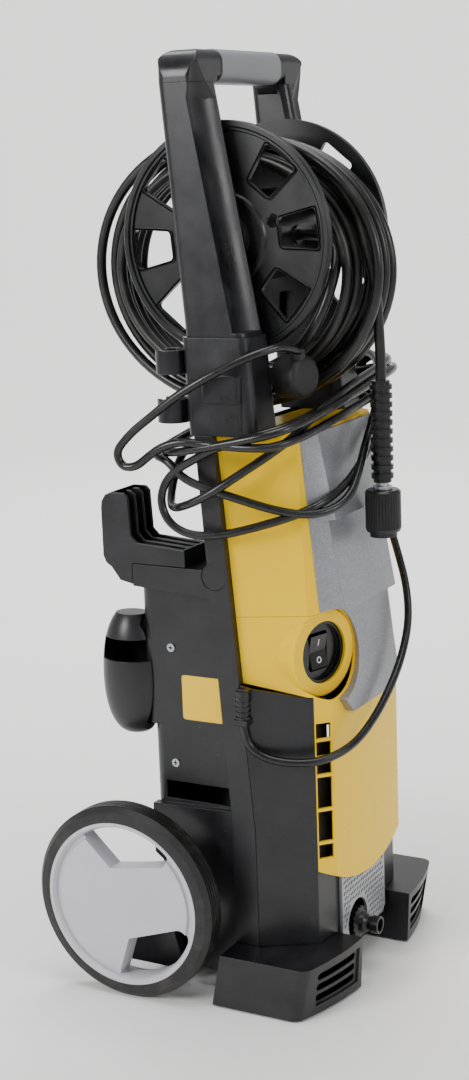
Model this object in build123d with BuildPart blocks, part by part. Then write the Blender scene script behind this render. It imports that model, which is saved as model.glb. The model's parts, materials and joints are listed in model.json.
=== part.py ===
from build123d import *
import os
from math import cos, degrees, pi, radians, sin, tan

# Upright electric pressure washer on two wheels.
# Frame: X to the machine's own left-right, front faces -Y, +Z up, ground at Z = 0.
# "left" is the -X side.  All sizes are millimetres.

os.makedirs("parts", exist_ok=True)

# ---------------------------------------------------------------- driving dimensions
# Overall
handle_top = 890.0          # top of the handle's crossbar above the ground
rail_face = 118.0           # outer face of the side rails from the centre plane
foot_face = 150.3           # outer face of the front feet from the centre plane
wall = 3.0                  # moulded wall of covers and housings
gap = 0.3                   # clearance between neighbouring mouldings

# Wheels and axle
wheel_radius = 96.5
tyre_depth = 14.8           # from the tread down to the rim
wheel_face = 168.5          # outer face of each rim from the centre plane
tyre_width = 30.0
rim_radius = wheel_radius - tyre_depth
axle_y = 53.0
axle_radius = 6.0
running_fit = 0.06          # radial clearance of everything that turns
spoke_angle = 166.0         # direction of the narrow spoke at rest, from +Y towards +Z

# Base
pad_drop = 2.0              # how far the rubber pads stand below the feet
foot_height = 54.0
foot_inner = 56.8
foot_rear = -33.4
foot_front_outer = -124.0
foot_front_inner = -146.9
tray_low = 18.0
tray_high = 30.0
tray_front = -116.0
tray_rear = 60.0
tray_half = 112.0
lug_thickness = 12.0

# Body housings
seam_y = -69.0              # vertical seam between front and rear housings
knee_z = 172.0              # above this height the seam leans back with the rails
rail_slope = 0.0795
rail_depth_low = 26.0       # front-to-back depth of a rail at its foot
rail_depth_high = 19.0
rear_half = 108.0           # half width of the rear housing between the rails
rear_low_y = 46.0
rear_high_y = 54.0
rear_step_z = 262.0
shelf_z = 421.0             # top of the deep rear part of the body
shelf_bar = 24.0            # height of the bar along the shelf's edge
body_top = 547.0
back_wall_y = -26.0         # rear face of the slim upper body

# Front covers: plan points (half width, y) at the lower and upper ends
cover_low_z = 300.0
shoulder_low = (88.0, -119.0)
front_low = (74.0, -132.0)
shoulder_high = (79.0, -104.0)
front_high = (68.0, -111.0)
cover_rear_half = 111.0
front_crown = 3.0           # how far the front bulges in its middle
cover_split_z = 377.0       # level seam between upper and lower cover
band_rear_z = 314.0         # lower edge of the yellow side panel at its rear end
band_slope = 0.25
cover_foot_edge = 128.0     # lower edge of the front cover at its sides
cover_foot_mid = 103.0      # and in its middle

# Switch boss
boss_centre = (-62.0, -119.3, 337.1)
boss_radius = 42.8
boss_turn = 16.0            # degrees the boss faces to the left of straight ahead
boss_bore = 29.8
boss_depth = 44.0
rocker_swing = 10.0

# Grille and inlet
grille_half = 50.0
grille_low = 36.0
grille_high = 120.0
inlet_x = -15.0
inlet_z = 49.0
inlet_tip_y = -149.5
nipple_radius = 8.75

# Handle
leg_inner = 67.5
leg_outer = 111.0
leg_foot_z = 636.0
leg_foot_front = -71.0
leg_foot_rear = -9.0
leg_head_front = -30.5
leg_head_rear = 9.0
bar_height = 29.0
grip_half = 58.0
grip_wall = 3.2
flute_across = 35.0         # width of the shallow flute on the leg's front face
flute_back = 11.0           # and on its outer side
flute_depth = 5.0           # hollow of the flute below its chord

# Hose reel
reel_y = -29.6
reel_z = 721.0
reel_radius = 107.0
reel_face = 66.3
flange_inner = 58.5
drum_radius = 43.0
pivot_radius = 12.0
window_first = 5.5          # degrees from straight ahead, upwards
window_inner = 57.0
window_outer = 95.0

# Cords
hose_diameter = 10.0
cable_diameter = 8.0

# ---------------------------------------------------------------- shared outlines


def rail_front(z):
    """Front edge of the rails, which is also the seam, at height z."""
    return seam_y + max(0.0, z - knee_z) * rail_slope


def rail_rear(z):
    """Rear edge of the rails at height z."""
    share = (z - tray_high) / (body_top - tray_high)
    return rail_front(z) + rail_depth_low + (rail_depth_high - rail_depth_low) * share


def cover_point(low, high, z):
    """Plan point of the front cover at height z, between its lower and upper ends."""
    share = (z - cover_low_z) / (body_top - cover_low_z)
    return (low[0] + (high[0] - low[0]) * share, low[1] + (high[1] - low[1]) * share)


def band_edge(y):
    """Height of the side panel's lower edge at depth y."""
    return band_rear_z + (y - rail_front(band_rear_z)) * band_slope


def cover_plan(z, inset, rear):
    """Closed plan of the front cover at height z, walls moved in by inset."""
    sx, sy = cover_point(shoulder_low, shoulder_high, z)
    fx, fy = cover_point(front_low, front_high, z)
    side = cover_rear_half - inset
    with BuildSketch(Plane.XY.offset(z)) as plan:
        with BuildLine():
            Polyline(
                (-fx + inset * 0.55, fy + inset),
                (-sx + inset, sy + inset * 0.6),
                (-side, rail_front(z)),
                (-side, rear),
                (side, rear),
                (side, rail_front(z)),
                (sx - inset, sy + inset * 0.6),
                (fx - inset * 0.55, fy + inset),
            )
            ThreePointArc(
                (fx - inset * 0.55, fy + inset),
                (0, fy + inset - front_crown),
                (-fx + inset * 0.55, fy + inset),
            )
        make_face()
    return plan.sketch


def box_part(x0, x1, y0, y1, z0, z1):
    """Plain block between two corners, used for cuts and internals."""
    with BuildPart(Plane(((x0 + x1) / 2, (y0 + y1) / 2, (z0 + z1) / 2))) as block:
        Box(x1 - x0, y1 - y0, z1 - z0)
    return block.part


def side_slab(points, x0, x1):
    """Side-view outline of (y, z) points, extruded from x0 to x1."""
    with BuildPart() as slab:
        with BuildSketch(Plane.YZ.offset(x0)):
            with BuildLine():
                Polyline(*points, close=True)
            make_face()
        extrude(amount=x1 - x0)
    return slab.part


def finish_part(name, piece):
    """Label a finished piece and write it."""
    piece.label = name
    export_step(piece, "parts/" + name + ".step")


sides = {"left": -1, "right": 1}

# Everything behind the slanting seam, used to trim the front mouldings
behind_seam = side_slab(
    [
        (seam_y - gap, -10),
        (seam_y - gap, knee_z),
        (rail_front(body_top + 20) - gap, body_top + 20),
        (200, body_top + 20),
        (200, -10),
    ],
    -200,
    200,
)

# Solid form of the front cover, used to shell it and to seat the trims on it
with BuildPart() as cover_form:
    add(cover_plan(cover_low_z, 0, back_wall_y))
    add(cover_plan(body_top, 0, back_wall_y))
    loft(ruled=True)
    fillet(
        cover_form.edges().filter_by(
            lambda e: abs(e.tangent_at(0.5).Z) > 0.9 and abs(e.center().X) < 100
        ),
        radius=5,
    )
with BuildPart() as cover_core:
    add(cover_plan(cover_low_z, wall, 0))
    add(cover_plan(body_top - wall, wall, 0))
    loft(ruled=True)

# Straight lower run of the front cover, below the band
with BuildPart() as apron_form:
    add(cover_plan(cover_low_z, 0, back_wall_y))
    extrude(amount=-(cover_low_z - tray_high))
    fillet(
        apron_form.edges().filter_by(
            lambda e: abs(e.tangent_at(0.5).Z) > 0.9 and abs(e.center().X) < 100
        ),
        radius=5,
    )


# ---------------------------------------------------------------- base
foot_profile_lean = 10.0    # how far a foot's top leans forward of its sole


def foot_plan(z, inset=0.0):
    """Plan of the right-hand foot at height z, walls moved in by inset."""
    shift = -foot_profile_lean * (z - pad_drop) / (foot_height - pad_drop)
    with BuildSketch(Plane.XY.offset(z)) as plan:
        with BuildLine():
            Polyline(
                (foot_inner + inset, foot_front_inner + shift * 0.3 + inset),
                (foot_inner + inset, foot_rear + shift - inset),
                (foot_face - inset, foot_rear + shift - inset),
                (foot_face - inset, foot_front_outer + shift + inset),
            )
            ThreePointArc(
                (foot_face - inset, foot_front_outer + shift + inset),
                (
                    (foot_inner + foot_face) / 2,
                    (foot_front_inner + foot_front_outer) / 2 + shift * 0.65 - 4.0 + inset,
                ),
                (foot_inner + inset, foot_front_inner + shift * 0.3 + inset),
            )
        make_face()
    return plan.sketch


pad_length = 62.0
pad_width = 16.0
pad_depth = 6.0
pad_pocket = 4.0
pad_places = [(foot_inner + 46.0, -112.0), (foot_inner + 46.0, -58.0)]
foot_wall = 4.0
foot_round = 12.0           # outer front corner of a foot
recess_depth = 2.0          # frame sunk round the louvres
recess_side = 15.0
louvre_height = 7.0
louvre_pitch = 11.0
lug_inner = tray_half
lug_outer = lug_inner + lug_thickness
lug_radius = 20.0

with BuildPart() as foot_hollow:
    add(foot_plan(pad_drop + foot_wall + pad_pocket, foot_wall))
    add(foot_plan(foot_height - foot_wall, foot_wall))
    loft(ruled=True)
    hollow_corner = Vector(foot_face, foot_front_outer - foot_profile_lean / 2, foot_height / 2)
    fillet(foot_hollow.edges().sort_by_distance(hollow_corner)[0], radius=foot_round - foot_wall)

with BuildPart() as recess_floor:
    add(foot_plan(pad_drop, recess_depth))
    add(foot_plan(foot_height, recess_depth))
    loft(ruled=True)

with BuildPart() as louvre_recess:
    with BuildSketch(Plane.XZ.offset(-foot_front_outer - 8.0)):
        with BuildLine():
            Polyline(
                (foot_inner + recess_side * 0.5, pad_drop + 9.0),
                (foot_face - recess_side * 1.4, pad_drop + 9.0),
                (foot_face - recess_side, foot_height - 8.0),
                (foot_inner + recess_side * 0.4, foot_height - 8.0),
                close=True,
            )
        make_face()
    extrude(amount=40.0)
    add(recess_floor.part, mode=Mode.SUBTRACT)

with BuildPart() as foot:
    add(foot_plan(pad_drop))
    add(foot_plan(foot_height))
    loft(ruled=True)
    corner = Vector(foot_face, foot_front_outer - foot_profile_lean / 2, (pad_drop + foot_height) / 2)
    fillet(foot.edges().sort_by_distance(corner)[0], radius=foot_round)
    add(foot_hollow.part, mode=Mode.SUBTRACT)
    add(louvre_recess.part, mode=Mode.SUBTRACT)
    for row in range(3):
        z = pad_drop + 16.0 + row * louvre_pitch
        with BuildSketch(Plane.XZ.offset(-foot_front_outer - 8.0)):
            with Locations(((foot_inner + foot_face) / 2 - 5.0, z)):
                SlotOverall(foot_face - foot_inner - 34.0, louvre_height)
        extrude(amount=40.0, mode=Mode.SUBTRACT)
    for x, y in pad_places:
        with BuildSketch(Plane.XY.offset(pad_drop)):
            with Locations((x, y)):
                SlotOverall(pad_length, pad_width)
        extrude(amount=pad_pocket, mode=Mode.SUBTRACT)
foot_block = foot.part

with BuildPart() as foot_zone:
    add(foot_plan(pad_drop - 5.0, -gap))
    add(foot_plan(foot_height + gap, -gap))
    loft(ruled=True)
both_foot_zones = foot_zone.part + foot_zone.part.mirror(Plane.YZ)

with BuildPart() as base_frame:
    with BuildSketch(Plane.XY.offset(tray_low)):
        with BuildLine():
            Polyline(
                (-foot_inner - 8.0, tray_front),
                (foot_inner + 8.0, tray_front),
                (foot_inner + 8.0, foot_rear - 5.0),
                (tray_half, foot_rear - 5.0),
                (tray_half, tray_rear - 12.0),
                (tray_half - 12.0, tray_rear),
                (-tray_half + 12.0, tray_rear),
                (-tray_half, tray_rear - 12.0),
                (-tray_half, foot_rear - 5.0),
                (-foot_inner - 8.0, foot_rear - 5.0),
                close=True,
            )
        make_face()
    extrude(amount=tray_high - tray_low)
    add(foot_block)
    add(foot_block.mirror(Plane.YZ))
    for sign in (-1, 1):
        with BuildSketch(Plane.YZ.offset(min(sign * lug_inner, sign * lug_outer))):
            with BuildLine():
                Polyline(
                    (axle_y - lug_radius, wheel_radius),
                    (axle_y - lug_radius - 22.0, tray_low),
                    (axle_y + lug_radius + 2.0, tray_low),
                    (axle_y + lug_radius, wheel_radius),
                )
                RadiusArc(
                    (axle_y + lug_radius, wheel_radius),
                    (axle_y - lug_radius, wheel_radius),
                    -lug_radius,
                )
            make_face()
            with Locations((axle_y, wheel_radius)):
                Circle(axle_radius, mode=Mode.SUBTRACT)
        extrude(amount=lug_thickness)
    # lug roots run in to meet the tray
    for sign in (-1, 1):
        with Locations((sign * (lug_inner - 3.0), axle_y - 4.0, (tray_low + tray_high) / 2)):
            Box(14.0, 2 * lug_radius, tray_high - tray_low)
finish_part("base_frame", base_frame.part)

with BuildPart() as foot_pads:
    for sign in (-1, 1):
        for x, y in pad_places:
            with BuildSketch(Plane.XY):
                with Locations((sign * x, y)):
                    SlotOverall(pad_length, pad_width)
            extrude(amount=pad_drop + pad_pocket)
finish_part("foot_pads", foot_pads.part)

# ---------------------------------------------------------------- axle and wheels
axle_line = Axis((0, axle_y, wheel_radius), (1, 0, 0))
axle_plane = Plane((0, axle_y, wheel_radius), x_dir=(1, 0, 0), z_dir=(0, -1, 0))
washer_thickness = 2.0
washer_radius = 13.0
hub_radius = 15.0
hub_inner = lug_outer + washer_thickness + 2 * gap
axle_end = wheel_face - 12.0
clip_x = axle_end - 6.0
clip_thickness = 1.6
clip_radius = 9.5
rim_thickness = 3.0
spoke_face = wheel_face - 3.0
spoke_depth = 19.0
tyre_inner_x = wheel_face - tyre_width - 0.5

with BuildPart() as axle:
    with BuildSketch(Plane.YZ.offset(-axle_end)):
        with Locations((axle_y, wheel_radius)):
            Circle(axle_radius)
    extrude(amount=2 * axle_end)
    chamfer(axle.edges().filter_by(GeomType.CIRCLE), length=0.8)
    for sign in (-1, 1):
        with BuildSketch(axle_plane):
            with Locations((sign * clip_x, axle_radius)):
                Rectangle(clip_thickness + 0.2, 2.0)
        revolve(axis=axle_line, revolution_arc=360, mode=Mode.SUBTRACT)
finish_part("axle", axle.part)

with BuildPart() as axle_washers:
    for sign in (-1, 1):
        start = lug_outer + gap / 2 if sign > 0 else -lug_outer - gap / 2 - washer_thickness
        with BuildSketch(Plane.YZ.offset(start)):
            with Locations((axle_y, wheel_radius)):
                Circle(washer_radius)
                Circle(axle_radius + running_fit, mode=Mode.SUBTRACT)
        extrude(amount=washer_thickness)
finish_part("axle_washers", axle_washers.part)

with BuildPart() as axle_clips:
    for sign in (-1, 1):
        with BuildSketch(Plane.YZ.offset(sign * clip_x - clip_thickness / 2)):
            with Locations((axle_y, wheel_radius)):
                Circle(clip_radius)
                Circle(axle_radius - 0.8, mode=Mode.SUBTRACT)
        extrude(amount=clip_thickness)
finish_part("axle_clips", axle_clips.part)


def polar_point(radius, angle):
    """Point (y, z) from the axle at an angle from +Y towards +Z."""
    return (
        axle_y + radius * cos(radians(angle)),
        wheel_radius + radius * sin(radians(angle)),
    )


def opening_outline(turn, grow):
    """Wheel opening on one side of the spoke, edges moved out by grow."""
    corner_radius = 36.0 - grow * 1.25
    far = rim_radius - rim_thickness - 3.0 + grow
    spread = degrees(grow / far)
    near = spoke_angle + turn * (23.4 - spread)
    corner = spoke_angle + turn * 95.7
    away = spoke_angle + turn * (110.0 + spread)
    middle = spoke_angle + turn * 67.0
    with BuildSketch(Plane.YZ) as outline:
        with BuildLine():
            Polyline(
                polar_point(far, near),
                polar_point(corner_radius, corner),
                polar_point(far, away),
            )
            ThreePointArc(
                polar_point(far, away), polar_point(far, middle), polar_point(far, near)
            )
        make_face()
        fillet(
            outline.vertices().sort_by_distance(Vector(0, *polar_point(corner_radius, corner)))[0],
            radius=9.0,
        )
    return outline.sketch_local


for side, sign in sides.items():

    def across(x):
        """Distance x from the centre plane, on this wheel's side."""
        return sign * x

    with BuildPart() as rim:
        with BuildSketch(axle_plane):
            with BuildLine():
                Polyline(
                    (across(tyre_inner_x), rim_radius - rim_thickness),
                    (across(tyre_inner_x), rim_radius),
                    (across(wheel_face), rim_radius),
                    (across(wheel_face), rim_radius - 3.2),
                    (across(wheel_face - 1.2), rim_radius - 4.2),
                    (across(spoke_face - 2.5), rim_radius - 6.0),
                    (across(spoke_face - 2.5), rim_radius - 9.5),
                    (across(spoke_face), rim_radius - 10.5),
                    (across(spoke_face), 0),
                    (across(axle_end + 1.0), 0),
                    (across(axle_end + 1.0), clip_radius + 1.0),
                    (across(clip_x - 2.5), clip_radius + 1.0),
                    (across(clip_x - 2.5), axle_radius + running_fit),
                    (across(hub_inner), axle_radius + running_fit),
                    (across(hub_inner), hub_radius),
                    (across(spoke_face - spoke_depth), hub_radius),
                    (across(spoke_face - spoke_depth), rim_radius - rim_thickness),
                    close=True,
                )
            make_face()
        revolve(axis=axle_line, revolution_arc=360)
        for turn in (-1, 1):
            with BuildSketch(Plane.YZ.offset(across(wheel_face + 1) if sign > 0 else -hub_inner)):
                add(opening_outline(turn, 0.0))
            extrude(amount=-(wheel_face + 1 - hub_inner), mode=Mode.SUBTRACT)
        # hollow back of the spoke disc
        with BuildSketch(Plane.YZ.offset(across(spoke_face - 3.0) if sign > 0 else -hub_inner)):
            with Locations((axle_y, wheel_radius)):
                Circle(rim_radius - rim_thickness - 6.0)
                Circle(hub_radius + 2.0, mode=Mode.SUBTRACT)
            add(opening_outline(-1, 3.0), mode=Mode.SUBTRACT)
            add(opening_outline(1, 3.0), mode=Mode.SUBTRACT)
        extrude(amount=-(spoke_face - 3.0 - hub_inner), mode=Mode.SUBTRACT)
    finish_part(side + "_rim", rim.part)

    tread_grooves = 5
    with BuildPart() as tyre:
        with BuildSketch(axle_plane):
            with BuildLine():
                Polyline(
                    (across(tyre_inner_x), rim_radius),
                    (across(tyre_inner_x), wheel_radius - 6.0),
                    (across(tyre_inner_x + 6.0), wheel_radius),
                    (across(wheel_face - 7.0), wheel_radius),
                    (across(wheel_face - 1.5), wheel_radius - 5.0),
                    (across(wheel_face - 0.5), rim_radius + 4.0),
                    (across(wheel_face - 0.5), rim_radius),
                    close=True,
                )
            make_face()
        revolve(axis=axle_line, revolution_arc=360)
        for groove in range(tread_grooves):
            x = tyre_inner_x + 7.0 + groove * (tyre_width - 14.0) / (tread_grooves - 1)
            with BuildSketch(axle_plane):
                with Locations((across(x), wheel_radius)):
                    Rectangle(1.2, 1.6)
            revolve(axis=axle_line, revolution_arc=360, mode=Mode.SUBTRACT)
    finish_part(side + "_tyre", tyre.part)

# ---------------------------------------------------------------- rear housing
rear_corner = 14.0
bulge = 7.0                 # how far the lower rear block stands out from the sides
bulge_top = 183.0
slot_low = 184.0
slot_high = 206.0
slot_depth = 6.0
cap_z = 415.0
cap_radius = 13.0
cap_depth = 2.0



def rear_block(half, rear, low, high, corner):
    """Upright block reaching back to rear, with its two rear corners rounded."""
    with BuildPart() as block:
        with BuildSketch(Plane.XY.offset(low)):
            with BuildLine():
                Polyline((-half, rear), (-half, seam_y - 40), (half, seam_y - 40), (half, rear))
                Line((half, rear), (-half, rear))
            made = make_face()
            fillet(made.vertices().group_by(Axis.Y)[-1], radius=corner)
        extrude(amount=high - low)
    return block.part


def rear_volume(inset):
    """Stepped volume of the rear housing with its walls moved in by inset."""
    half = rear_half - inset
    corner = rear_corner - inset
    volume = rear_block(half, rear_low_y - inset, tray_high + inset, rear_step_z, corner)
    volume += rear_block(half, rear_high_y - inset, rear_step_z, shelf_z - inset, corner)
    volume += rear_block(half, back_wall_y - inset, shelf_z - inset, body_top + inset, 2.0)
    return volume


ahead_of_seam = side_slab(
    [
        (seam_y, -10),
        (seam_y, knee_z),
        (rail_front(body_top + 20), body_top + 20),
        (-300, body_top + 20),
        (-300, -10),
    ],
    -200,
    200,
)
rail_outline = [
    (rail_front(tray_high), tray_high),
    (rail_front(knee_z), knee_z),
    (rail_front(body_top), body_top),
    (rail_rear(body_top), body_top),
    (rail_rear(shelf_z), shelf_z),
    (rail_rear(knee_z), knee_z),
    (rail_rear(tray_high), tray_high),
]
bar_outline = [
    (rail_rear(shelf_z) - 2.0, shelf_z),
    (rear_high_y - 1.0, shelf_z),
    (rear_high_y - 1.0, shelf_z - shelf_bar + 3.0),
    (rail_rear(shelf_z) - 2.0, shelf_z - shelf_bar - 3.0),
]
bulge_rear = axle_y - 20.0 - 24.0
bulge_outline = [
    (rail_rear(bulge_top) - 2.0, tray_high),
    (rail_rear(bulge_top) - 2.0, bulge_top + 3.0),
    (rear_low_y - 2.0, bulge_top),
    (rear_low_y - 2.0, wheel_radius + 36.0),
    (bulge_rear, wheel_radius + 10.0),
    (bulge_rear, tray_high),
]
boss_normal = (-sin(radians(boss_turn)), -cos(radians(boss_turn)), 0)
boss_across = (cos(radians(boss_turn)), -sin(radians(boss_turn)), 0)
boss_plane = Plane(origin=boss_centre, x_dir=boss_across, z_dir=boss_normal)


def boss_cylinder(radius, start, depth):
    """Cylinder on the switch boss's axis, from start behind its face, depth long."""
    with BuildPart() as cylinder:
        with BuildSketch(boss_plane.offset(-start)):
            Circle(radius)
        extrude(amount=-depth)
    return cylinder.part


with BuildPart() as rear_housing:
    add(rear_volume(0.0))
    add(rear_volume(wall), mode=Mode.SUBTRACT)
    add(ahead_of_seam, mode=Mode.SUBTRACT)
    for sign in (-1, 1):
        inner = sign * (rear_half - wall)
        outer = sign * rail_face
        add(side_slab(rail_outline, min(inner, outer), max(inner, outer)))
        add(side_slab(bar_outline, min(inner, outer), max(inner, outer)))
        skin = sign * (rear_half + bulge)
        add(side_slab(bulge_outline, min(inner, skin), max(inner, skin)))
        # shadow slot above the lower block
        slot_start = sign * (rear_half - slot_depth)
        slot_end = sign * (rear_half + bulge + 1.0)
        add(
            box_part(
                min(slot_start, slot_end),
                max(slot_start, slot_end),
                rail_rear(slot_low) + 4.0,
                rear_low_y - rear_corner,
                slot_low + 4.0,
                slot_high,
            ),
            mode=Mode.SUBTRACT,
        )
        # pocket for the round cap on the rail
        cap_start = sign * (rail_face - cap_depth)
        with BuildSketch(Plane.YZ.offset(min(cap_start, outer + sign * 1.0))):
            with Locations((rail_front(cap_z) + cap_radius + 2.0, cap_z)):
                Circle(cap_radius)
        extrude(amount=cap_depth + 1.0, mode=Mode.SUBTRACT)
    add(both_foot_zones, mode=Mode.SUBTRACT)
finish_part("rear_housing", rear_housing.part)

with BuildPart() as rail_caps:
    for sign in (-1, 1):
        cap_start = sign * (rail_face - cap_depth)
        cap_end = sign * (rail_face - 0.6)
        with BuildSketch(Plane.YZ.offset(min(cap_start, cap_end))):
            with Locations((rail_front(cap_z) + cap_radius + 2.0, cap_z)):
                Circle(cap_radius - gap)
        extrude(amount=cap_depth - 0.6)
finish_part("rail_caps", rail_caps.part)

# ---------------------------------------------------------------- front housing
shoulder_x, shoulder_y = shoulder_low
corner_y = shoulder_y - 3.4
front_wall_y = corner_y + wall
above_band = side_slab(
    [
        (20, band_edge(20) - gap),
        (20, 900),
        (-220, 900),
        (-220, band_edge(-220) - gap),
    ],
    -200,
    200,
)
with BuildPart() as front_housing:
    with BuildSketch(Plane.XY.offset(tray_high)):
        with BuildLine():
            Polyline(
                (-rail_face, seam_y + 14.0),
                (-rail_face, seam_y),
                (-shoulder_x, shoulder_y),
                (-grille_half, corner_y),
                (grille_half, corner_y),
                (shoulder_x, shoulder_y),
                (rail_face, seam_y),
                (rail_face, seam_y + 14.0),
                close=True,
            )
        make_face()
        with BuildLine():
            Polyline(
                (-rail_face + wall + 0.5, seam_y + 20.0),
                (-rail_face + wall + 0.5, seam_y + 0.8),
                (-shoulder_x + 1.8, shoulder_y + 2.7),
                (-grille_half, front_wall_y),
                (grille_half, front_wall_y),
                (shoulder_x - 1.8, shoulder_y + 2.7),
                (rail_face - wall - 0.5, seam_y + 0.8),
                (rail_face - wall - 0.5, seam_y + 20.0),
                close=True,
            )
        make_face(mode=Mode.SUBTRACT)
    extrude(amount=band_rear_z + 5.0 - tray_high)
    add(above_band, mode=Mode.SUBTRACT)
    add(behind_seam, mode=Mode.SUBTRACT)
    # mouth behind the grille and the large opening behind the front cover
    add(
        box_part(-grille_half + 6, grille_half - 6, -140, -100, grille_low - 4, grille_high - 12),
        mode=Mode.SUBTRACT,
    )
    add(
        box_part(-grille_half - 14, grille_half + 14, -140, -100, grille_high + 14, 400),
        mode=Mode.SUBTRACT,
    )
    add(both_foot_zones, mode=Mode.SUBTRACT)
    add(boss_cylinder(boss_radius + gap, -10, boss_depth + 40), mode=Mode.SUBTRACT)
finish_part("front_housing", front_housing.part)

# ---------------------------------------------------------------- covers
vent_gap = 3.0
vent_heights = [15.0, 14.0, 15.0, 31.0, 30.0, 14.0]
vent_top = 274.0
vent_width = 15.0

with BuildPart() as upper_cover:
    add(cover_form.part)
    add(cover_core.part, mode=Mode.SUBTRACT)
    add(box_part(-200, 200, -200, 100, 0, cover_split_z + gap / 2), mode=Mode.SUBTRACT)
    add(behind_seam, mode=Mode.SUBTRACT)
    add(boss_cylinder(boss_radius + gap, -20, boss_depth + 40), mode=Mode.SUBTRACT)
finish_part("upper_cover", upper_cover.part)


def apron_plan(inset):
    """Plan of the apron between the front housing's shoulders."""
    with BuildSketch(Plane.XY.offset(grille_low)) as plan:
        add(cover_plan(cover_low_z, inset, 0).moved(Location((0, 0, grille_low - cover_low_z))))
        with BuildLine():
            Polyline(
                (-200, shoulder_y - gap),
                (-shoulder_x, shoulder_y - gap),
                (-grille_half, corner_y - gap),
                (grille_half, corner_y - gap),
                (shoulder_x, shoulder_y - gap),
                (200, shoulder_y - gap),
                (200, 200),
                (-200, 200),
                close=True,
            )
        make_face(mode=Mode.SUBTRACT)
    return plan.sketch


with BuildPart() as apron_hollow:
    add(apron_plan(wall))
    extrude(amount=cover_low_z - grille_low)

with BuildPart() as apron:
    add(apron_plan(0.0))
    extrude(amount=cover_low_z - grille_low)
    add(apron_hollow.part, mode=Mode.SUBTRACT)
    # curved lower edge, lowest in the middle
    with BuildSketch(Plane.XZ.offset(200)):
        with BuildLine():
            Polyline(
                (-shoulder_x, cover_foot_edge),
                (-shoulder_x, tray_low),
                (shoulder_x, tray_low),
                (shoulder_x, cover_foot_edge),
            )
            ThreePointArc(
                (shoulder_x, cover_foot_edge),
                (0, cover_foot_mid),
                (-shoulder_x, cover_foot_edge),
            )
        make_face()
    extrude(amount=-400, mode=Mode.SUBTRACT)

front_x, front_y = front_low
with BuildPart() as boss_ring:
    add(boss_cylinder(boss_radius, 0, boss_depth))
    fillet(
        boss_ring.edges().filter_by(
            lambda e: e.geom_type == GeomType.CIRCLE and (e.arc_center - Vector(*boss_centre)).length < 1
        ),
        radius=3.0,
    )
    add(boss_cylinder(boss_radius - wall, wall, boss_depth), mode=Mode.SUBTRACT)
    add(boss_cylinder(boss_bore, -1, wall + 2), mode=Mode.SUBTRACT)

with BuildPart() as lower_cover:
    add(cover_form.part)
    add(cover_core.part, mode=Mode.SUBTRACT)
    add(box_part(-200, 200, -200, 100, cover_split_z - gap / 2, 700), mode=Mode.SUBTRACT)
    add(behind_seam, mode=Mode.SUBTRACT)
    # the band's lower edge slopes down towards the front
    below_band = side_slab(
        [
            (20, band_edge(20)),
            (20, 200),
            (shoulder_y - 1.0, 200),
            (shoulder_y - 1.0, band_edge(shoulder_y)),
        ],
        -200,
        200,
    )
    add(below_band, mode=Mode.SUBTRACT)
    add(apron.part)
    # vents down both chamfered strips
    for sign in (-1, 1):
        middle = ((shoulder_x + front_x) / 2 * sign, (shoulder_y + front_y) / 2)
        strip = Plane(
            origin=(middle[0], middle[1], 0),
            x_dir=(sign * (front_x - shoulder_x), front_y - shoulder_y, 0),
            z_dir=(sign * -(front_y - shoulder_y), front_x - shoulder_x, 0),
        )
        top = vent_top
        for height in vent_heights:
            with BuildSketch(strip):
                with Locations((0, strip.to_local_coords(Vector(*middle, top - height / 2)).Y)):
                    Rectangle(vent_width, height)
            extrude(amount=12.0, both=True, mode=Mode.SUBTRACT)
            top -= height + vent_gap
    # switch boss
    add(boss_cylinder(boss_radius, -20, boss_depth + 20), mode=Mode.SUBTRACT)
    add(boss_ring.part)
finish_part("lower_cover", lower_cover.part)

# ---------------------------------------------------------------- grey front panels
trim_edge = 1.6             # thickness of a trim at its edges
trim_half = 76.0
ridge_half = 58.0
fold_z = 464.0              # where the upper panel steps back
fold_bulge = 12.0           # how far each facet stands out at its lower end
fold_step = 8.0
facet_start = 2.0
lower_trim_low = 278.0
lower_trim_knee = 306.0
lower_trim_half = 72.0
lower_trim_foot = 48.0


def trim_plan(z, lift):
    """Plan of a front panel at height z, its flat standing lift proud of the cover."""
    fx, fy = cover_point(front_low, front_high, z)
    sx, sy = cover_point(shoulder_low, shoulder_high, z)
    share = (trim_half - fx) / (sx - fx)
    flank_y = fy + (sy - fy) * share - trim_edge
    front = fy - front_crown - lift
    with BuildSketch(Plane.XY.offset(z)) as plan:
        with BuildLine():
            Polyline(
                (-trim_half, flank_y + 12.0),
                (-trim_half, flank_y),
                (-ridge_half, front),
                (ridge_half, front),
                (trim_half, flank_y),
                (trim_half, flank_y + 12.0),
                close=True,
            )
        make_face()
    return plan.sketch


def facet(low, high, low_lift, high_lift):
    """One sloping facet of a front panel between two heights."""
    with BuildPart() as body:
        add(trim_plan(low, low_lift))
        add(trim_plan(high, high_lift))
        loft(ruled=True)
    return body.part


with BuildPart() as upper_trim:
    add(facet(fold_z, body_top - 2.0, fold_bulge, facet_start))
    add(facet(cover_split_z + gap / 2, fold_z, fold_bulge, fold_bulge - fold_step))
    add(cover_form.part, mode=Mode.SUBTRACT)
    add(boss_cylinder(boss_radius + 2 * gap, -30, boss_depth + 60), mode=Mode.SUBTRACT)
finish_part("upper_trim", upper_trim.part)

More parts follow.
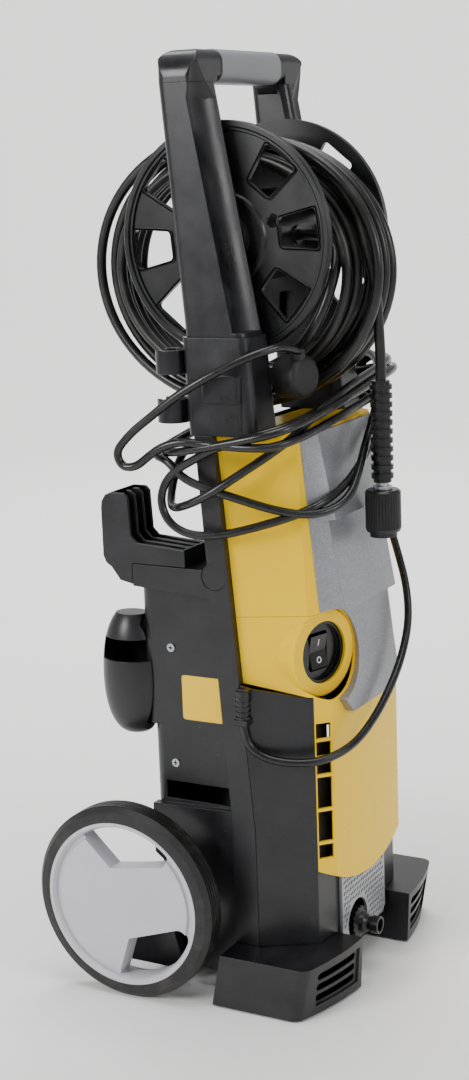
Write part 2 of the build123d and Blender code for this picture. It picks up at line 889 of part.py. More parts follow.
with BuildPart() as lower_trim:
    add(facet(cover_low_z, cover_split_z - gap / 2, 6.0, facet_start))
    add(facet(lower_trim_low - 5, cover_low_z, 5.0, 6.0))
    add(cover_form.part, mode=Mode.SUBTRACT)
    add(apron_form.part, mode=Mode.SUBTRACT)
    add(boss_cylinder(boss_radius + 2 * gap, -30, boss_depth + 60), mode=Mode.SUBTRACT)
    with BuildSketch(Plane.XZ.offset(200)):
        with BuildLine():
            Polyline(
                (-200, 700),
                (-200, 100),
                (200, 100),
                (200, 700),
                (lower_trim_half, 700),
                (lower_trim_half, lower_trim_knee),
                (lower_trim_foot, lower_trim_low),
                (-lower_trim_foot, lower_trim_low),
                (-lower_trim_half, lower_trim_knee),
                (-lower_trim_half, 700),
                close=True,
            )
        make_face()
    extrude(amount=-400, mode=Mode.SUBTRACT)
finish_part("lower_trim", lower_trim.part)

# ---------------------------------------------------------------- grille and inlet
grille_thickness = 3.0
grille_y = corner_y - gap - grille_thickness
inlet_plate_radius = 22.0
hole_rows = 13
hole_columns = 14

with BuildPart() as grille:
    with BuildSketch(Plane.XZ.offset(-grille_y - grille_thickness)):
        with BuildLine():
            Polyline(
                (-grille_half, grille_low + 6),
                (-grille_half + 6, grille_low),
                (grille_half - 6, grille_low),
                (grille_half, grille_low + 6),
                (grille_half, grille_high),
            )
            Line((grille_half, grille_high), (-grille_half, grille_high))
            Line((-grille_half, grille_high), (-grille_half, grille_low + 6))
        make_face()
        with Locations((inlet_x, inlet_z + 2)):
            Circle(inlet_plate_radius, mode=Mode.SUBTRACT)
        for row in range(hole_rows):
            for column in range(hole_columns):
                x = (column - (hole_columns - 1) / 2) * 6.6 + (row % 2) * 3.3 - 1.6
                z = grille_low + 7.0 + row * 5.8
                clear = (x - inlet_x) ** 2 + (z - inlet_z - 2) ** 2 > (inlet_plate_radius + 4.5) ** 2
                if clear and abs(x) < grille_half - 4.5:
                    with Locations(Location((x, z), 35)):
                        SlotOverall(5.0, 2.4, mode=Mode.SUBTRACT)
    extrude(amount=grille_thickness)
    # keep it clear of the apron's lower edge
    add(apron.part, mode=Mode.SUBTRACT)
finish_part("grille", grille.part)

inlet_line = Axis((inlet_x, 0, inlet_z), (0, -1, 0))
inlet_plane = Plane((inlet_x, 0, inlet_z), x_dir=(0, -1, 0), z_dir=(1, 0, 0))
inlet_root_y = -104.0
inlet_collar = 16.0
reach = -inlet_tip_y
with BuildPart() as inlet_connector:
    with BuildSketch(inlet_plane):
        with BuildLine():
            Polyline(
                (-inlet_root_y, 6.5),
                (-inlet_root_y, 13.0),
                (-inlet_root_y + 14.0, 13.0),
                (-inlet_root_y + 14.0, inlet_collar),
                (-inlet_root_y + 24.0, inlet_collar),
                (-inlet_root_y + 26.0, 11.0),
                (reach - 15.0, 9.6),
                (reach - 12.0, 7.0),
                (reach - 9.0, 7.0),
                (reach - 8.0, nipple_radius),
                (reach, nipple_radius),
                (reach, 6.5),
                close=True,
            )
        make_face()
    revolve(axis=inlet_line, revolution_arc=360)
    with Locations(Plane((inlet_x, inlet_root_y - 19.0, inlet_z), x_dir=(1, 0, 0), z_dir=(0, -1, 0))):
        with PolarLocations(inlet_collar, 16):
            Cylinder(1.2, 12.0, mode=Mode.SUBTRACT)
finish_part("inlet_connector", inlet_connector.part)

with BuildPart() as inlet_filter:
    with BuildSketch(inlet_plane):
        with Locations((-inlet_root_y + 12.0, 3.2)):
            Rectangle(18.0, 6.2)
    revolve(axis=inlet_line, revolution_arc=360)
finish_part("inlet_filter", inlet_filter.part)

# ---------------------------------------------------------------- switch
well_radius = boss_bore - 0.3
well_floor = 20.0
rocker_width = 24.0
rocker_height = 34.0
rocker_depth = 12.0
pivot_depth = 15.0
rocker_pin = 2.5

with BuildPart() as switch_well:
    with BuildSketch(boss_plane.offset(-wall - 0.3)):
        Circle(boss_radius - wall - 0.4)
    extrude(amount=-2.5)
    with BuildSketch(boss_plane.offset(-wall - 0.3)):
        Circle(well_radius)
    extrude(amount=-well_floor)
    with BuildSketch(boss_plane.offset(5)):
        Circle(well_radius - 2.5)
    extrude(amount=-(5 + pivot_depth - 7.0), mode=Mode.SUBTRACT)
    with BuildSketch(boss_plane.offset(5)):
        RectangleRounded(rocker_width + 1.0, rocker_height + 2.4, 2.0)
    extrude(amount=-(5 + well_floor), mode=Mode.SUBTRACT)
    with Locations(boss_plane.offset(-pivot_depth)):
        with Locations(Rotation(0, 90, 0)):
            Cylinder(rocker_pin, rocker_width + 6.0, mode=Mode.SUBTRACT)
finish_part("switch_well", switch_well.part)

with BuildPart() as power_rocker:
    with BuildSketch(Plane(boss_plane.origin, x_dir=boss_plane.z_dir, z_dir=boss_plane.x_dir)):
        with BuildLine():
            Polyline(
                (-pivot_depth + 6.0, 0),
                (-pivot_depth + 9.5, rocker_height / 2 - 1.0),
                (-pivot_depth - 2.0, rocker_height / 2 - 1.5),
                (-pivot_depth - 4.0, 0),
                (-pivot_depth - 2.0, -rocker_height / 2 + 1.5),
                (-pivot_depth + 9.5, -rocker_height / 2 + 1.0),
                close=True,
            )
        make_face()
    extrude(amount=rocker_width / 2 - 0.4, both=True)
    with Locations(boss_plane.offset(-pivot_depth)):
        with Locations(Rotation(0, 90, 0)):
            Cylinder(rocker_pin - running_fit, rocker_width + 5.0)
finish_part("power_rocker", power_rocker.part)

# ---------------------------------------------------------------- pump and motor
motor_radius = 52.0
motor_y = -25.0
motor_low = 152.0
motor_high = 272.0
shaft_radius = 5.0

pump_head = box_part(-54, 28, inlet_root_y, -42, tray_high + wall + 1, 92)
with BuildPart() as pump_block:
    add(pump_head)
    chamfer(pump_block.edges().filter_by(Axis.Z), length=6.0)
    for row in (-1, 0, 1):
        with Locations((-16 + row * 24, -73, 96)):
            Cylinder(9.0, 8.0)
    with BuildSketch(Plane((inlet_x, inlet_root_y - 1, inlet_z), x_dir=(1, 0, 0), z_dir=(0, 1, 0))):
        Circle(6.5)
    extrude(amount=30.0, mode=Mode.SUBTRACT)
finish_part("pump_head", pump_block.part)

with BuildPart() as pump_crankcase:
    with BuildSketch(Plane.XY.offset(100)):
        with Locations((-10, -45)):
            Circle(46.0)
    with BuildSketch(Plane.XY.offset(motor_low)):
        with Locations((0, motor_y)):
            Circle(motor_radius - 4.0)
    loft()
finish_part("pump_crankcase", pump_crankcase.part)

with BuildPart() as motor:
    with BuildSketch(Plane.XY.offset(motor_low)):
        with Locations((0, motor_y)):
            Circle(motor_radius)
    extrude(amount=motor_high - motor_low)
    with BuildSketch(Plane.XY.offset(motor_low + 12)):
        with Locations((0, motor_y)):
            with PolarLocations(motor_radius, 24):
                Rectangle(5.0, 3.0)
    extrude(amount=motor_high - motor_low - 24, mode=Mode.SUBTRACT)
    with BuildSketch(Plane.XY.offset(motor_high)):
        with Locations((0, motor_y)):
            Circle(shaft_radius)
    extrude(amount=18.0)
finish_part("motor", motor.part)

fan_radius = 46.0
with BuildPart() as motor_fan:
    with BuildSketch(Plane.XY.offset(motor_high + 2.0)):
        with Locations((0, motor_y)):
            Circle(fan_radius)
            Circle(shaft_radius + running_fit, mode=Mode.SUBTRACT)
    extrude(amount=2.0)
    with BuildSketch(Plane.XY.offset(motor_high + 4.0)):
        with Locations((0, motor_y)):
            Circle(11.0)
            Circle(shaft_radius + running_fit, mode=Mode.SUBTRACT)
            with PolarLocations(29.0, 9):
                Rectangle(32.0, 1.8)
    extrude(amount=10.0)
finish_part("motor_fan", motor_fan.part)

with BuildPart(Plane((52, -70, 345))) as capacitor:
    Cylinder(19.0, 60.0)
    fillet(capacitor.edges().filter_by(GeomType.CIRCLE), radius=2.0)
finish_part("capacitor", capacitor.part)

pipe_radius = 6.0
pipe_points = [(28, -78, 72), (62, -78, 72), (84, -70, 120), (92, -52, 260), (92, -44, 420), (92, -40, 540)]
with BuildPart() as reel_feed_pipe:
    with BuildLine() as pipe_route:
        FilletPolyline(*pipe_points, radius=14.0)
    with BuildSketch(pipe_route.line ^ 0):
        Circle(pipe_radius)
    sweep()
finish_part("reel_feed_pipe", reel_feed_pipe.part)

# ---------------------------------------------------------------- handle
socket_inner = 66.5
socket_outer = 117.0
socket_front_low = -82.0
socket_rear_low = -12.0
socket_front_high = -74.5
socket_rear_high = -6.5
socket_round = 9.0
leg_round = 9.0
block_low = 578.0
block_high = 602.0
block_middle = -50.0
block_length = 40.0
block_reach = 21.0
block_round = 5.0
bar_low = handle_top - bar_height
flute_top = bar_low - 14.0


def plan_rectangle(z, x0, x1, y0, y1, corner):
    """Rounded rectangle between two corners at height z."""
    with BuildSketch(Plane.XY.offset(z)) as plan:
        with Locations(((x0 + x1) / 2, (y0 + y1) / 2)):
            RectangleRounded(x1 - x0, y1 - y0, corner)
    return plan.sketch


with BuildPart() as socket:
    add(plan_rectangle(body_top, socket_inner, socket_outer, socket_front_low, socket_rear_low, socket_round))
    add(
        plan_rectangle(
            leg_foot_z, socket_inner, socket_outer - 3, socket_front_high, socket_rear_high, socket_round
        )
    )
    loft(ruled=True)
    # raised block on the outer side
    with BuildSketch(Plane.XY.offset(block_low)):
        with Locations((socket_outer - 6.0, block_middle)):
            RectangleRounded(block_reach, block_length, block_round)
    extrude(amount=block_high - block_low)
    # raised rib down the front of the outer side
    with BuildSketch(Plane.XY.offset(body_top + 6.0)):
        with Locations((socket_outer - 4.0, -68.0)):
            RectangleRounded(9.0, 4.0, 1.5)
    extrude(amount=26.0)
finish_part("right_socket", socket.part)
finish_part("left_socket", socket.part.mirror(Plane.YZ))

clip_rows = [613.0, 568.0]
clip_height = 22.0
clip_y = 8.0
clip_outer = 15.0
clip_inner = 11.5
clip_mouth = 15.0
with BuildPart() as lance_clips:
    for z in clip_rows:
        with BuildSketch(Plane.XY.offset(z - clip_height / 2)):
            with Locations((-socket_outer + 13.0, clip_y)):
                Circle(clip_outer)
                Circle(clip_inner, mode=Mode.SUBTRACT)
            with Locations((-socket_outer + 13.0, clip_y + clip_outer)):
                Rectangle(clip_mouth, clip_outer * 1.4, mode=Mode.SUBTRACT)
        extrude(amount=clip_height)
    add(socket.part.mirror(Plane.YZ), mode=Mode.SUBTRACT)
finish_part("lance_clips", lance_clips.part)

flute_rise = 4.0            # plain band left at the foot of the flute
flute_end = 17.0            # height above the bar's underside where it runs out
flute_last = 0.25           # share of its size left there
flute_spill = 6.0           # how far the cutter stands off the leg
flute_lean = (leg_head_front - leg_foot_front) / (bar_low - leg_foot_z)


def flute_section(place, share):
    """Outline cut away for the flute at a point of the front corner, at a share of its full size."""
    across = flute_across * share
    back = flute_back * share
    inward = Vector(-flute_back, flute_across).normalized() * flute_depth * share
    with BuildSketch(Plane.XY.offset(place.Z)) as section:
        with BuildLine():
            ThreePointArc(
                (place.X, place.Y + back),
                (place.X - across / 2 + inward.X, place.Y + back / 2 + inward.Y),
                (place.X - across, place.Y),
            )
            Polyline(
                (place.X - across, place.Y),
                (place.X - across, place.Y - flute_spill),
                (place.X + flute_spill, place.Y - flute_spill),
                (place.X + flute_spill, place.Y + back),
                (place.X, place.Y + back),
            )
        make_face()
    return section.sketch


def flute_run(low, high, low_share, high_share):
    """Cutter for a stretch of the flute between two points of the front corner."""
    with BuildPart() as run:
        add(flute_section(low, low_share))
        add(flute_section(high, high_share))
        loft(ruled=True)
    return run.part


flute_foot = Vector(leg_outer, leg_foot_front, leg_foot_z + flute_rise)
flute_neck = Vector(leg_outer, leg_foot_front + flute_lean * (flute_top - leg_foot_z), flute_top)
flute_head = Vector(leg_outer, leg_head_front, bar_low + flute_end)
flute_lower = flute_run(flute_foot, flute_neck, 1.0, 1.0)
flute_upper = flute_run(flute_neck, flute_head, 1.0, flute_last)

with BuildPart() as upright:
    add(plan_rectangle(leg_foot_z, leg_inner, leg_outer, leg_foot_front, leg_foot_rear, leg_round))
    add(plan_rectangle(bar_low, leg_inner, leg_outer, leg_head_front, leg_head_rear, leg_round))
    loft(ruled=True)
    # long shallow flute down the outer front corner
    add(flute_lower, mode=Mode.SUBTRACT)
    add(flute_upper, mode=Mode.SUBTRACT)
finish_part("right_upright", upright.part)
finish_part("left_upright", upright.part.mirror(Plane.YZ))

bar_front = leg_head_front
bar_rear = leg_head_rear
bar_middle = (bar_front + bar_rear) / 2
bar_depth = bar_rear - bar_front
bar_round = 11.0
bar_shoulder = 24.0
arch_radius = 9.0
arch_inset = leg_round
grip_proud = 0.8


def bar_piece(start, length, inset):
    """Length of the crossbar from start, its skin moved in by inset."""
    with BuildPart() as piece:
        with BuildSketch(Plane.YZ.offset(start)):
            with Locations((bar_middle, bar_low + bar_height / 2)):
                RectangleRounded(bar_depth - 2 * inset, bar_height - 2 * inset, bar_round - inset)
        extrude(amount=length)
    return piece.part


with BuildPart() as crossbar:
    # core under the grip, then the full section at both ends
    add(bar_piece(-leg_outer, 2 * leg_outer, grip_wall))
    add(bar_piece(-leg_outer, leg_outer - grip_half, 0.0))
    add(bar_piece(grip_half, leg_outer - grip_half, 0.0))
    # square undersides that sit flush on the uprights
    for sign in (-1, 1):
        with Locations((sign * (leg_inner + leg_outer) / 2, bar_middle, bar_low + bar_height / 4)):
            Box(leg_outer - leg_inner, bar_depth, bar_height / 2)
    # rounded shoulders down onto the uprights
    with BuildSketch(Plane.XZ.offset(-100)) as shoulders:
        with Locations((0, bar_low + bar_height / 2)):
            Rectangle(2 * leg_outer, bar_height)
        fillet(shoulders.vertices().group_by(Axis.Y)[-1], radius=bar_shoulder)
    extrude(amount=200, mode=Mode.INTERSECT)
    # ends share the legs' rounded plan, so bar and leg read as one
    with BuildSketch(Plane.XY.offset(bar_low)):
        with Locations((0, bar_middle)):
            RectangleRounded(2 * leg_outer, bar_depth, leg_round)
    extrude(amount=bar_height, mode=Mode.INTERSECT)
    add(flute_upper, mode=Mode.SUBTRACT)
    add(flute_upper.mirror(Plane.YZ), mode=Mode.SUBTRACT)
    # arched corners between the bar and the legs
    for sign in (-1, 1):
        with BuildSketch(Plane.XZ.offset(-bar_rear + arch_inset)):
            with BuildLine():
                Polyline(
                    (sign * (leg_inner - arch_radius), bar_low + grip_wall),
                    (sign * leg_inner, bar_low + grip_wall),
                    (sign * leg_inner, bar_low - arch_radius),
                )
                ThreePointArc(
                    (sign * leg_inner, bar_low - arch_radius),
                    (
                        sign * (leg_inner - arch_radius * (1 - cos(pi / 4))),
                        bar_low - arch_radius * (1 - sin(pi / 4)),
                    ),
                    (sign * (leg_inner - arch_radius), bar_low),
                )
                Line(
                    (sign * (leg_inner - arch_radius), bar_low),
                    (sign * (leg_inner - arch_radius), bar_low + grip_wall),
                )
            make_face()
        extrude(amount=bar_depth - 2 * arch_inset)
finish_part("crossbar", crossbar.part)

with BuildPart() as grip_insert:
    add(bar_piece(-grip_half + gap, 2 * (grip_half - gap), -grip_proud))
    add(bar_piece(-grip_half, 2 * grip_half, grip_wall), mode=Mode.SUBTRACT)
finish_part("grip_insert", grip_insert.part)

# ---------------------------------------------------------------- hose reel
reel_line = Axis((0, reel_y, reel_z), (1, 0, 0))
reel_plane = Plane((0, reel_y, reel_z), x_dir=(1, 0, 0), z_dir=(0, -1, 0))
window_count = 7
peg_slot = 2                # the window position that holds the winding peg
hub_recess = 38.0
web_face = 62.2
web_back = flange_inner
window_half_inner = 13.0
window_half_outer = 19.0


def reel_point(radius, angle, across=0.0):
    """Point (y, z) from the reel's axle at an angle from -Y towards +Z."""
    a = radians(angle)
    return (
        reel_y - radius * cos(a) + across * sin(a),
        reel_z + radius * sin(a) + across * cos(a),
    )


def window_outline(angle, grow):
    """Trapezoid window in a flange, edges moved out by grow."""
    with BuildSketch(Plane.YZ) as outline:
        with BuildLine():
            Polyline(
                reel_point(window_inner - grow, angle, -window_half_inner - grow),
                reel_point(window_outer + grow, angle, -window_half_outer - grow),
                reel_point(window_outer + grow, angle, window_half_outer + grow),
                reel_point(window_inner - grow, angle, window_half_inner + grow),
                close=True,
            )
        make_face()
        fillet(outline.vertices(), radius=4.0 + grow * 0.5)
    return outline.sketch_local


window_angles = [window_first + 45.0 * k for k in range(8) if k != peg_slot]
peg_angle = window_first + 45.0 * peg_slot
for side, sign in sides.items():
    with BuildPart() as flange:
        with BuildSketch(reel_plane):
            with BuildLine():
                Polyline(
                    (sign * flange_inner, pivot_radius + running_fit),
                    (sign * flange_inner, reel_radius),
                    (sign * (reel_face - 1.0), reel_radius),
                    (sign * reel_face, reel_radius - 1.0),
                    (sign * reel_face, reel_radius - 5.0),
                    (sign * (reel_face - 1.8), reel_radius - 6.5),
                    (sign * (reel_face - 1.8), reel_radius - 8.5),
                    (sign * web_face, reel_radius - 9.5),
                    (sign * web_face, hub_recess + 5.0),
                    (sign * (web_face + 2.2), hub_recess + 3.5),
                    (sign * (web_face + 2.2), hub_recess),
                    (sign * (web_face - 1.6), hub_recess - 1.0),
                    (sign * (web_face - 1.6), 24.0),
                    (sign * (reel_face - 0.8), 22.0),
                    (sign * (reel_face - 0.8), pivot_radius + running_fit),
                    close=True,
                )
            make_face()
        revolve(axis=reel_line, revolution_arc=360)
        start = web_back if sign > 0 else -web_face - 1.6
        for angle in window_angles:
            with BuildSketch(Plane.YZ.offset(start)):
                add(window_outline(angle, 2.2))
            extrude(amount=web_face + 1.6 - web_back)
        for angle in window_angles:
            with BuildSketch(Plane.YZ.offset(sign * web_back - 5.0 if sign > 0 else -reel_face - 2.0)):
                add(window_outline(angle, 0.0))
            extrude(amount=reel_face - web_back + 7.0, mode=Mode.SUBTRACT)
        # recess for the winding peg and the small drain hole
        with BuildSketch(Plane.YZ.offset(sign * web_back - 5.0 if sign > 0 else -reel_face - 2.0)):
            with Locations(Location((*reel_point(80.0, peg_angle), 0), peg_angle + 90)):
                Rectangle(20.0, 22.0)
            with Locations(reel_point(52.0, 18.0)):
                Circle(6.5)
        extrude(amount=reel_face - web_back + 7.0, mode=Mode.SUBTRACT)
    finish_part("reel_" + side + "_flange", flange.part)

peg_y, peg_z = reel_point(80.0, peg_angle)
with BuildPart() as winding_pegs:
    for sign in (-1, 1):
        with Locations(Location((sign * (web_face - 1.2), peg_y, peg_z), (peg_angle - 90, 0, 0))):
            with Locations(Rotation(90, 0, 0)):
                Cylinder(4.0, 20.0)
finish_part("winding_pegs", winding_pegs.part)

with BuildPart() as reel_drum:
    with BuildSketch(reel_plane):
        with BuildLine():
            Polyline(
                (-flange_inner, drum_radius - wall),
                (-flange_inner, drum_radius),
                (flange_inner, drum_radius),
                (flange_inner, drum_radius - wall),
                close=True,
            )
        make_face()
    revolve(axis=reel_line, revolution_arc=360)
    with BuildSketch(Plane((0, reel_y - drum_radius + 5.0, reel_z), x_dir=(1, 0, 0), z_dir=(0, -1, 0))):
        Circle(9.0)
        Circle(5.2, mode=Mode.SUBTRACT)
    extrude(amount=7.0)
finish_part("reel_drum", reel_drum.part)

pivot_reach = flange_inner - 6.0
with BuildPart() as reel_pivots:
    for sign in (-1, 1):
        start = pivot_reach if sign > 0 else -leg_inner
        with BuildSketch(Plane.YZ.offset(start)):
            with Locations((reel_y, reel_z)):
                Circle(pivot_radius)
                Circle(4.0, mode=Mode.SUBTRACT)
        extrude(amount=leg_inner - pivot_reach)
finish_part("reel_pivots", reel_pivots.part)

# ---------------------------------------------------------------- rear fittings
hook_outer = 117.0
hook_width = 44.0
hook_rib = 3.0
hook_skin = 3.0
hook_foot_y = -4.0
hook_lip_y = 86.0
hook_lip_inner = 56.0
hook_top = 489.0
hook_arm_top = 442.0
hook_drop = 20.0
hook_outline = [
    (hook_foot_y, shelf_z),
    (hook_foot_y, hook_arm_top - 4),
    (hook_lip_inner - 8, hook_arm_top),
    (hook_lip_inner - 2, hook_arm_top + 6),
    (hook_lip_inner, hook_top - 4),
    (hook_lip_inner + 4, hook_top),
    (hook_lip_y - 12, hook_top),
    (hook_lip_y - 5, hook_top - 3),
    (hook_lip_y - 1, hook_top - 9),
    (hook_lip_y, hook_top - 16),
    (hook_lip_y, shelf_z + 6),
    (hook_lip_y - 3, shelf_z - 1),
    (hook_lip_y - 9, shelf_z - 5),
    (rear_high_y + 14, shelf_z - hook_drop + 3),
    (rear_high_y, shelf_z - hook_drop),
    (rear_high_y, shelf_z),
]
hook_pocket = [
    (hook_foot_y + hook_skin, shelf_z + hook_skin),
    (hook_foot_y + hook_skin, hook_arm_top + 60),
    (hook_lip_inner - 20, hook_top + 40),
    (hook_lip_y - 10, hook_top - hook_skin),
    (hook_lip_y - hook_skin, hook_top - 14),
    (hook_lip_y - hook_skin, shelf_z + 6),
    (hook_lip_y - 10, shelf_z + hook_skin),
]
with BuildPart() as cable_hook:
    add(side_slab(hook_outline, -hook_outer, -hook_outer + hook_width))
    pocket_width = (hook_width - 4 * hook_rib) / 3
    for bay in range(3):
        start = -hook_outer + hook_rib + bay * (pocket_width + hook_rib)
        add(side_slab(hook_pocket, start, start + pocket_width), mode=Mode.SUBTRACT)
finish_part("cable_hook", cable_hook.part)

pocket_x = -96.0
pocket_y = 70.0
pocket_sections = [
    (249.0, 10.0, 12.0),
    (257.0, 18.0, 21.0),
    (276.0, 24.0, 29.0),
    (305.0, 26.0, 32.0),
    (332.0, 25.0, 30.0),
    (352.0, 21.0, 25.0),
    (368.0, 13.0, 16.0),
]
pocket_slot_low = 324.0
pocket_slot_high = 345.0


def pocket_form(inset):
    """Bulged pocket body with its wall moved in by inset."""
    with BuildPart() as form:
        for z, rx, ry in pocket_sections:
            level = z + (inset if z < 300 else -inset)
            with BuildSketch(Plane.XY.offset(level)):
                with Locations((pocket_x, pocket_y)):
                    Ellipse(rx - inset, ry - inset)
        loft()
    return form.part


with BuildPart() as rear_pocket:
    add(pocket_form(0.0))
    add(pocket_form(wall), mode=Mode.SUBTRACT)
    add(
        box_part(-140, pocket_x + 2, pocket_y - 60, pocket_y + 24, pocket_slot_low, pocket_slot_high),
        mode=Mode.SUBTRACT,
    )
    add(box_part(-rear_half - gap, rear_half, -50, rear_high_y + gap, 0, 600), mode=Mode.SUBTRACT)
finish_part("rear_pocket", rear_pocket.part)

# ---------------------------------------------------------------- cable gland and fasteners
gland_x = -rail_face - 5.5
gland_y = -64.0
gland_low = 277.0
gland_length = 34.0
cable_radius = cable_diameter / 2
with BuildPart() as cable_gland:
    with BuildSketch(Plane.XY.offset(gland_low)):
        with Locations((gland_x, gland_y)):
            Circle(cable_radius + 1.4)
    with BuildSketch(Plane.XY.offset(gland_low + gland_length)):
        with Locations((gland_x, gland_y)):
            Circle(cable_radius + 3.0)
    loft()
    for rib in range(5):
        with Locations((gland_x, gland_y, gland_low + 8.0 + rib * 5.0)):
            Cylinder(cable_radius + 3.2, 2.2)
    with Locations((gland_x, gland_y, gland_low + 4.0)):
        Box(14.0, 14.0, 5.0)
    with Locations((gland_x + 4.0, gland_y, gland_low + gland_length - 5.0)):
        Box(10.0, 13.0, 12.0)
    add(box_part(-rail_face, 0, -200, 100, 200, 400), mode=Mode.SUBTRACT)
finish_part("cable_gland", cable_gland.part)

screw_head = 4.0
screw_places = [(20.0, 225.0), (20.0, 340.0)]
with BuildPart() as housing_screws:
    for sign in (-1, 1):
        for y, z in screw_places:
            start = sign * rear_half if sign > 0 else -rear_half - 1.6
            with BuildSketch(Plane.YZ.offset(start)):
                with Locations((y, z)):
                    Circle(screw_head)
                    RectangleRounded(5.0, 1.2, 0.4, mode=Mode.SUBTRACT)
                    RectangleRounded(1.2, 5.0, 0.4, mode=Mode.SUBTRACT)
            extrude(amount=1.6)
finish_part("housing_screws", housing_screws.part)

# ---------------------------------------------------------------- cords
bend_share = 0.45


def bend_radii(points):
    """Arc radius at each inner corner: a share of its shorter run over tan(half turn)."""
    radii = []
    for before, here, after in zip(points, points[1:], points[2:]):
        first = Vector(*here) - Vector(*before)
        second = Vector(*after) - Vector(*here)
        turn = first.get_angle(second)
        shorter = min(first.length, second.length)
        radii.append(bend_share * shorter / tan(radians(turn / 2)))
    return radii


def cord_tube(name, points, diameter):
    """Cord of straight runs joined by tangent arcs through its route."""
    radii = bend_radii(points)
    print(name, "radii", [round(r) for r in radii])
    with BuildPart() as tube:
        with BuildLine() as route:
            FilletPolyline(*points, radius=radii)
        with BuildSketch(Plane(origin=points[0], z_dir=Vector(*points[1]) - Vector(*points[0]))):
            Circle(diameter / 2)
        sweep(path=route.line)
    length = sum(edge.length for edge in route.edges())
    print(name, "length", round(length), "volume share", tube.part.volume / (pi * diameter**2 / 4 * length))
    finish_part(name, tube.part)


# Neck bundle: the cable's turns round the top of the body, one closed form
coil_half_x = 134.0
coil_half_y = 73.0
coil_middle_y = -50.0
coil_z = 556.0
coil_rise_x = 0.12
coil_rise_y = -0.20
coil_round = 48.0
bundle_radius = 10.0
coil_normal = Vector(-coil_rise_x, -coil_rise_y, 1).normalized()
coil_plane = Plane(origin=(0, coil_middle_y, coil_z), x_dir=(1, 0, coil_rise_x), z_dir=coil_normal)
with BuildPart() as cable_bundle:
    with BuildSketch(coil_plane) as coil_outline:
        RectangleRounded(2 * coil_half_x, 2 * coil_half_y, coil_round)
    coil_path = coil_outline.sketch.faces()[0].outer_wire()
with BuildPart() as cable_bundle:
    with BuildSketch(Plane(origin=coil_path @ 0, z_dir=coil_path % 0)):
        Circle(bundle_radius)
    sweep(path=coil_path)
finish_part("cable_bundle", cable_bundle.part)

lead_route = [
    (gland_x, gland_y, gland_low),
    (gland_x, -66, 259),
    (-121, -82, 247),
    (-113, -106, 242),
    (-101, -132, 243),
    (-70, -149, 250),
    (-30, -153, 264),
    (10, -153, 284),
    (44, -152, 308),
    (70, -149, 338),
    (84, -141, 370),
    (95, -127, 402),
    (105, -110, 440),
    (115, -92, 485),
    (125, -76, 528),
    (130, -66, 560),
]
front_loop_route = [
    (126, -70, 566),
    (104, -106, 556),
    (72, -125, 543),
    (36, -131, 527),
    (0, -136, 513),
    (-32, -137, 499),
    (-58, -134, 489),
    (-82, -126, 481),
    (-98, -105, 472),
    (-112, -78, 464),
    (-124, -49, 457),
    (-131, -20, 456),
    (-134, 0, 466),
    (-134, 9, 484),
    (-133, 6, 502),
    (-132, -6, 516),
    (-132, -24, 526),
]
side_loop_route = [
    (-131, 2, 526),
    (-131, -14, 509),
    (-128, -38, 500),
    (-118, -66, 490),
    (-106, -92, 480),
    (-90, -120, 473),
    (-68, -139, 477),
    (-46, -145, 489),
    (-22, -141, 506),
    (3, -136, 524),
    (28, -133, 545),
    (56, -127, 566),
    (88, -112, 580),
]
rail_loop_route = [
    (-86, -118, 556),
    (-92, -104, 542),
    (-103, -86, 529),
    (-116, -70, 516),
    (-127, -52, 503),
    (-131, -32, 491),
    (-130, -13, 483),
    (-121, 4, 478.5),
    (-107, 14, 483),
    (-94, 18, 496),
    (-84, 20, 512),
    (-77, 22, 530),
]
tail_route = [
    (-134, -40, 542),
    (-139, -20, 545),
    (-141, 0, 540),
    (-142, 15, 530),
    (-142.5, 28.5, 519.5),
    (-143.5, 43, 519),
    (-144.5, 48, 533),
    (-144.5, 37, 545.5),
    (-143.5, 25, 556),
    (-142, 12, 565.5),
    (-141, -3, 577),
    (-138.5, -22, 590),
    (-134, -45, 603),
    (-124, -68, 615),
    (-107, -88, 624),
    (-86, -101, 628),
    (-68, -104, 620),
]
cord_tube("cable_lead", lead_route, cable_diameter)
cord_tube("cable_front_loop", front_loop_route, cable_diameter)
cord_tube("cable_side_loop", side_loop_route, cable_diameter)
cord_tube("cable_rail_loop", rail_loop_route, cable_diameter)
cord_tube("cable_tail", tail_route, cable_diameter)

# Plug: round angled body with two pins
plug_centre = Vector(-60, -97, 596)
plug_axis = Vector(0.2, 0.98, 0)
plug_radius = 20.0
plug_thickness = 27.0
pin_radius = 2.4
pin_length = 19.0
pin_pitch = 19.0
with BuildPart() as mains_plug:
    with BuildSketch(Plane(origin=plug_centre - plug_axis * plug_thickness / 2, x_dir=(0.98, -0.2, 0), z_dir=plug_axis)):
        Circle(plug_radius)
    extrude(amount=plug_thickness)
    fillet(mains_plug.edges().filter_by(GeomType.CIRCLE).sort_by(Axis.Y)[0], radius=6.0)
    with BuildSketch(Plane(origin=Vector(*tail_route[-1]), z_dir=plug_centre - Vector(*tail_route[-1]))):
        Circle(cable_radius + 2.5)
    extrude(amount=14.0)
finish_part("mains_plug", mains_plug.part)
with BuildPart() as plug_pins:
    for share in (-0.5, 0.5):
        foot_of_pin = plug_centre + plug_axis * plug_thickness / 2 + Vector(0, 0, pin_pitch * share)
        with BuildSketch(Plane(origin=foot_of_pin, z_dir=plug_axis)):
            Circle(pin_radius)
        extrude(amount=pin_length)
finish_part("plug_pins", plug_pins.part)

